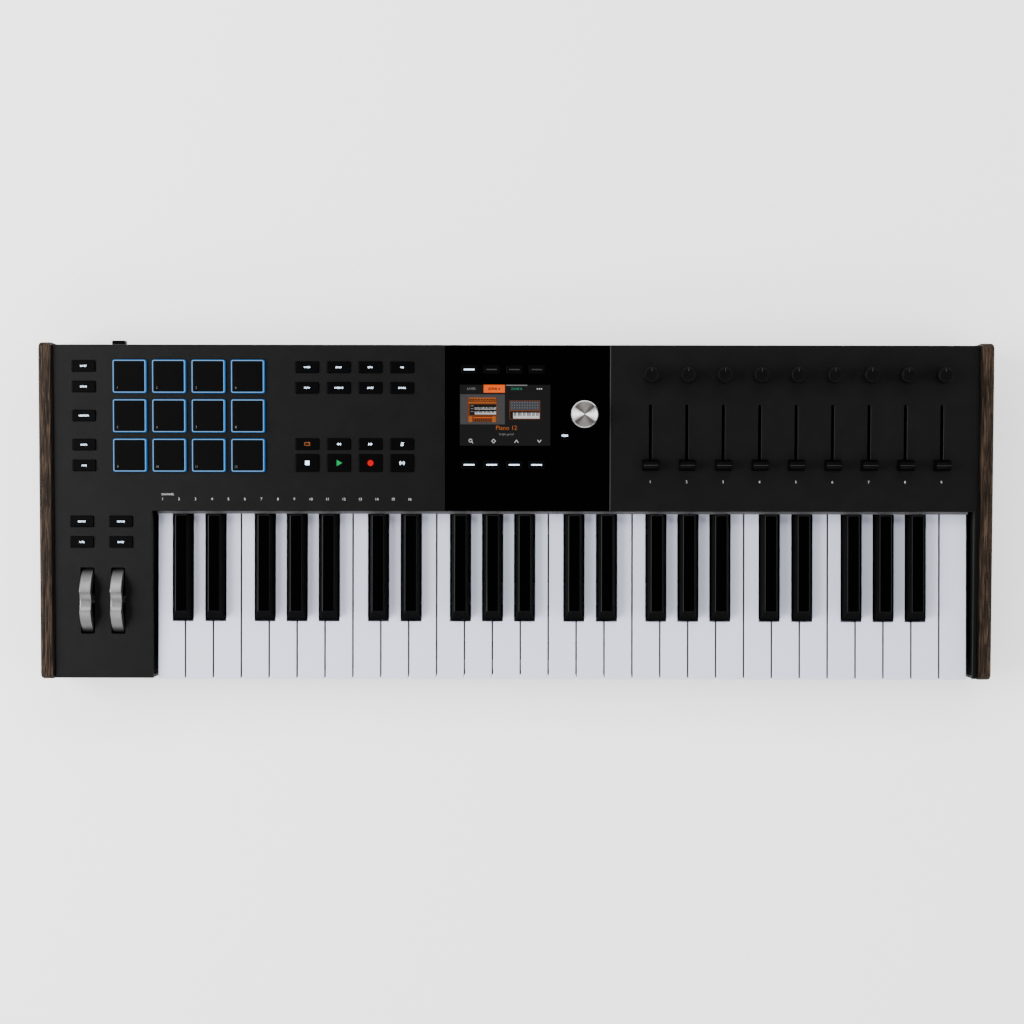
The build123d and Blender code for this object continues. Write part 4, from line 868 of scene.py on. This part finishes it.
class Picture:
    """Flat coloured shapes on the display, placed from its upper left corner in millimetres."""

    def __init__(self):
        self.layers = {}

    def bm(self, color):
        """The mesh that holds every shape of one colour."""
        return self.layers.setdefault(color, bmesh.new())

    def level(self, depth):
        """Height of a layer over the glass."""
        return GLASS_W + LAYER * (depth + 1)

    def area(self, color, left, top, width, height, depth=1):
        """A filled rectangle."""
        u, v = SCREEN_LEFT + left, SCREEN_TOP - top
        box(self.bm(color), u, u + width, v - height, v, self.level(depth) - LAYER / 2, self.level(depth))

    def line(self, color, points, width, depth=2):
        """A line through points."""
        run = [(SCREEN_LEFT + x, SCREEN_TOP - y) for x, y in points]
        stroke(self.bm(color), run, width, self.level(depth) - LAYER / 2, self.level(depth))

    def text(self, color, words, x, y, size, bold=0.0):
        """A generic word or number."""
        numeral(self.bm(color), words, SCREEN_LEFT + x, SCREEN_TOP - y, size, self.level(2), bold)

    def keys(self, left, top, width, height, count):
        """A small keyboard: a white strip with black keys along its upper part."""
        self.area("white", left, top, width, height, 3)
        pitch = width / count
        for index in range(count - 1):
            if index % OCTAVE in (0, 1, 3, 4, 5):
                self.area("dark", left + pitch * (index + 0.68), top, pitch * 0.64, height * 0.55, 4)


SCREEN_COLORS = {
    "ground": ((0.0125, 0.0125, 0.0128), 1.0),
    "panel": ((0.066, 0.062, 0.063), 1.0),
    "dark": ((0.012, 0.011, 0.011), 1.0),
    "orange": ((1.0, 0.12, 0.006), 1.2),
    "rust": ((0.17, 0.045, 0.014), 1.0),
    "amber": ((0.44, 0.115, 0.024), 1.0),
    "teal": ((0.02, 0.26, 0.16), 1.0),
    "grey": ((0.22, 0.22, 0.22), 1.0),
    "slate": ((0.055, 0.06, 0.07), 1.0),
    "white": ((0.72, 0.72, 0.72), 1.0),
}
picture = Picture()
picture.area("ground", 0, 0, *SCREEN_SIZE, 0)
picture.area("orange", 20.0, 0, 17.8, 6.6)
picture.area("grey", 38.8, 0, 17.8, 0.9)
picture.text("grey", "LAYER", 9.7, 3.4, 2.5, 0.04)
picture.text("dark", "ZONE A", 28.9, 3.5, 2.8, 0.09)
picture.text("teal", "ZONE B", 47.6, 3.5, 2.6, 0.04)
for dot in range(3):
    picture.area("white", 64.6 + 1.7 * dot, 2.9, 1.0, 1.0)

# Left drawing: an orange console with two manuals and a pedal rail.
picture.area("panel", 0.4, 8.0, 37.4, 25.2)
picture.area("rust", 6.6, 11.6, 24.6, 19.4, 2)
picture.area("amber", 7.6, 10.8, 22.6, 3.2, 2)
picture.area("amber", 7.2, 14.6, 23.4, 1.0, 3)
for knob in range(9):
    picture.area("dark", 8.8 + 2.3 * knob, 12.0, 0.9, 0.9, 3)
picture.area("dark", 8.4, 16.4, 22.0, 8.8, 3)
picture.keys(12.6, 18.8, 17.8, 2.2, 18)
picture.keys(12.6, 22.4, 17.8, 2.4, 18)
for stop in range(3):
    picture.area("grey", 9.2, 17.4 + 2.4 * stop, 2.4, 0.6, 4)
picture.area("amber", 7.4, 26.4, 3.0, 4.8, 3)
picture.area("amber", 27.2, 26.4, 3.0, 4.8, 3)
picture.line("orange", [(11.6, 27.6), (26.4, 27.6)], 0.5, 3)
for pedal in range(8):
    picture.line("dark", [(13.0 + 1.8 * pedal, 28.2), (13.0 + 1.8 * pedal, 30.8)], 0.5, 3)

# Right drawing: a slate synthesiser with rows of knobs over its keys.
picture.area("rust", 41.7, 13.1, 25.8, 15.9, 1)
picture.area("slate", 42.2, 13.6, 24.8, 7.6, 2)
for row in range(3):
    for knob in range(11):
        picture.area("grey", 43.4 + 2.15 * knob, 14.6 + 2.2 * row, 0.7, 0.7, 3)
picture.area("dark", 42.2, 22.2, 24.8, 6.4, 2)
picture.keys(44.8, 23.4, 22.0, 4.8, 20)

picture.text("amber", "Piano 12", 39.2, 36.2, 5.2)
picture.text("grey", "bright grand", 39.2, 41.4, 2.5)
ICON_Y = 47.2
lens_run = [(9.0 + 1.25 * cos(i * pi / 8), ICON_Y - 0.4 + 1.25 * sin(i * pi / 8)) for i in range(17)]
picture.line("white", lens_run, 0.5)
picture.line("white", [(10.0, ICON_Y + 0.5), (11.0, ICON_Y + 1.6)], 0.55)
diamond = [(28.4, ICON_Y - 1.6), (30.0, ICON_Y), (28.4, ICON_Y + 1.6), (26.8, ICON_Y), (28.4, ICON_Y - 1.6)]
picture.line("white", diamond, 0.5)
picture.line("white", [(46.2, ICON_Y + 1.0), (47.6, ICON_Y - 0.8), (49.0, ICON_Y + 1.0)], 0.6)
picture.line("white", [(65.4, ICON_Y - 0.8), (66.8, ICON_Y + 1.0), (68.2, ICON_Y - 0.8)], 0.6)
for color, bm in picture.layers.items():
    rgb, strength = SCREEN_COLORS[color]
    panel_piece(f"screen_{color}", bm, glowing(f"screen_{color}", rgb, strength), "case")

# ---- Key springs: each leaf is a bent strip standing on the keybed up to the roof of its key; they stay in place ---
LEAF_HALF_WIDTH = 2.0
LEAF_HALF_THICK = 0.2
LEAF_FOOT = 32.0
LEAF_BEND = Vector((22.15, 7.95))
LEAF_TIP = Vector((3.4, 43.0))
LEAF_STEPS = 12


def has_black(index):
    """True where a black key stands at the right edge of this white key."""
    return 0 <= index < WHITE_COUNT - 1 and index % OCTAVE in BLACK_SHIFT


def black_centre(index):
    """Centre line of the black key at the right edge of this white key."""
    return KEYS_LEFT + WHITE_PITCH * (index + 1) + BLACK_SHIFT[index % OCTAVE]


def tail_centre(index):
    """Middle of a white key's tail, between its black neighbours."""
    left = KEYS_LEFT + WHITE_PITCH * index + WHITE_HALF_GAP
    right = left + WHITE_PITCH - 2 * WHITE_HALF_GAP
    if has_black(index - 1):
        left = black_centre(index - 1) + BLACK_HALF
    if has_black(index):
        right = black_centre(index) - BLACK_HALF
    return (left + right) / 2


def leaf(bm, x):
    """One bent strip of spring steel, from its foot on the keybed up to the key's roof."""
    run = [Vector((LEAF_FOOT, LEAF_BEND.y))]
    run += [LEAF_BEND.lerp(LEAF_TIP, i / LEAF_STEPS) for i in range(LEAF_STEPS + 1)]
    rings = []
    for index, point in enumerate(run):
        along = (run[min(index + 1, len(run) - 1)] - run[max(index - 1, 0)]).normalized()
        side = Vector((along.y, -along.x)) * LEAF_HALF_THICK
        lower, upper = point - side, point + side
        left, right = x - LEAF_HALF_WIDTH, x + LEAF_HALF_WIDTH
        rings.append([(left, *lower), (right, *lower), (right, *upper), (left, *upper)])
    ring_faces(bm, rings, True, True)


KEY_GROUPS = {
    f"white_keys_{name}": [tail_centre(i) for i in range(first, WHITE_COUNT, OCTAVE)]
    for first, name in enumerate(WHITE_NAMES)
}
for first, name in BLACK_NAMES.items():
    KEY_GROUPS[f"black_keys_{name}"] = [black_centre(i) for i in range(first, WHITE_COUNT - 1, OCTAVE)]
leaf_bend = [Vector((0, *point)) * MM for point in (LEAF_BEND, LEAF_TIP)]
for body, centres in KEY_GROUPS.items():
    leaves = bmesh.new()
    for x in centres:
        leaf(leaves, x)
    name = f"{body}_springs"
    leaf_mesh = mesh_from(leaves, name, Matrix.Scale(MM, 4))
    springs = add_piece(name, leaf_mesh, STEEL, body, leaf_bend)
    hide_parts("key_springs")

# ---- Socket details ------------------------------------------------------------------------------
DIN_X = (-232.0, -206.0)
JACK_X = (-150.0, -125.0, -100.0, -75.0)
SOCKET_Z = 25.0
REAR_WALL = 138.7
CONTACT_CIRCLE = 4.4
CONTACT_DROP = 1.2
CONTACT_DEPTHS = (8.9, 8.4)
pins = bmesh.new()
for x in DIN_X:
    for angle in (-pi / 2, -pi / 4, 0, pi / 4, pi / 2):
        centre = (x + CONTACT_CIRCLE * sin(angle), SOCKET_Z + CONTACT_CIRCLE * cos(angle) - CONTACT_DROP)
        outline = circle_points(*centre, 0.75, 12)
        rings = [[(px, REAR_WALL - depth, pz) for px, pz in outline] for depth in CONTACT_DEPTHS]
        ring_faces(pins, rings, True, True)
pins.transform(Matrix.Scale(MM, 4))
add_piece("din_contacts", mesh_from(pins, "din_contacts"), STEEL, "case")

# A collar's section: radius and how far it stands out of the wall.
COLLAR = [(5.0, 0.05), (6.3, 0.05), (6.3, 1.5), (6.0, 1.85), (3.9, 1.85), (3.35, 1.5), (3.35, 0.2)]
nuts = bmesh.new()
for x in JACK_X:
    rings = []
    for radius, rise in COLLAR:
        rings.append([(px, REAR_WALL + rise, pz) for px, pz in circle_points(x, SOCKET_Z, radius, 48)])
    ring_faces(nuts, rings, False, False)
nuts.transform(Matrix.Scale(MM, 4))
add_piece("jack_collars", smooth(mesh_from(nuts, "jack_collars")), KNOB, "case")


# ---- Camera, floor and light ---------------------------------------------------------------
CAMERA_PLACE = (-0.00345, -0.0012, 1.650)
CAMERA_ROLL = 0.0015
SENSOR = 36.0
FOCAL_PIXELS = 1896.2
FRAME_PIXELS = 1024
camera_data = bpy.data.cameras.new("camera")
camera_data.sensor_width = SENSOR
camera_data.lens = SENSOR * FOCAL_PIXELS / FRAME_PIXELS
camera = bpy.data.objects.new("camera", camera_data)
bpy.context.scene.collection.objects.link(camera)
camera.location = CAMERA_PLACE
camera.rotation_euler = (0, 0, CAMERA_ROLL)
bpy.context.scene.camera = camera

FLOOR_HALF = 6.0
floor_mesh = bpy.data.meshes.new("floor")
floor_corners = [(x * FLOOR_HALF, y * FLOOR_HALF, 0) for x, y in ((-1, -1), (1, -1), (1, 1), (-1, 1))]
floor_mesh.from_pydata(floor_corners, [], [(0, 1, 2, 3)])
floor = bpy.data.objects.new("floor", floor_mesh)
bpy.context.scene.collection.objects.link(floor)
floor_recipe = Recipe("floor_pale", (0.93, 0.93, 0.93), 0.9)
floor_recipe.set(emission=(1.0, 1.0, 1.0), glow=0.7)
floor.data.materials.append(floor_recipe.material)

# The sky is dim overhead and bright towards the horizon, so gloss that faces up stays black.
world = bpy.data.worlds.new("world")
world.use_nodes = True
sky = world.node_tree
sky_place = sky.nodes.new("ShaderNodeTexCoord")
sky_axes = sky.nodes.new("ShaderNodeSeparateXYZ")
sky_ramp = sky.nodes.new("ShaderNodeValToRGB")
sky_ramp.color_ramp.elements[0].color = (1.0, 1.0, 1.0, 1)
sky_ramp.color_ramp.elements[0].position = 0.5
sky_ramp.color_ramp.elements[1].color = (0.04, 0.04, 0.042, 1)
sky_ramp.color_ramp.elements[1].position = 0.93
sky.links.new(sky_place.outputs["Generated"], sky_axes.inputs[0])
sky.links.new(sky_axes.outputs["Z"], sky_ramp.inputs["Fac"])
sky.links.new(sky_ramp.outputs["Color"], sky.nodes["Background"].inputs["Color"])
sky.nodes["Background"].inputs["Strength"].default_value = 1.25
bpy.context.scene.world = world


def area_light(name, place, target, size, power):
    """A soft rectangular lamp aimed at a point."""
    data = bpy.data.lights.new(name, "AREA")
    data.shape = "RECTANGLE"
    data.size, data.size_y = size
    data.energy = power
    lamp = bpy.data.objects.new(name, data)
    bpy.context.scene.collection.objects.link(lamp)
    lamp.location = place
    aim = Vector(target) - Vector(place)
    lamp.rotation_euler = aim.to_track_quat("-Z", "Y").to_euler()


# Each lamp's place, target, size in metres and power in watts: the key light stands to the left.
area_light("key_light", (-2.1, 0.12, 1.65), (-0.1, 0, 0.05), (1.9, 1.6), 134)
area_light("fill_light", (2.2, -0.45, 1.25), (0.1, -0.03, 0.05), (1.6, 1.6), 25)
area_light("front_light", (0.1, -2.0, 2.0), (0, -0.05, 0.05), (2.6, 0.9), 26)
area_light("back_light", (0.1, 1.9, 2.0), (0, 0, 0.05), (2.6, 0.9), 44)
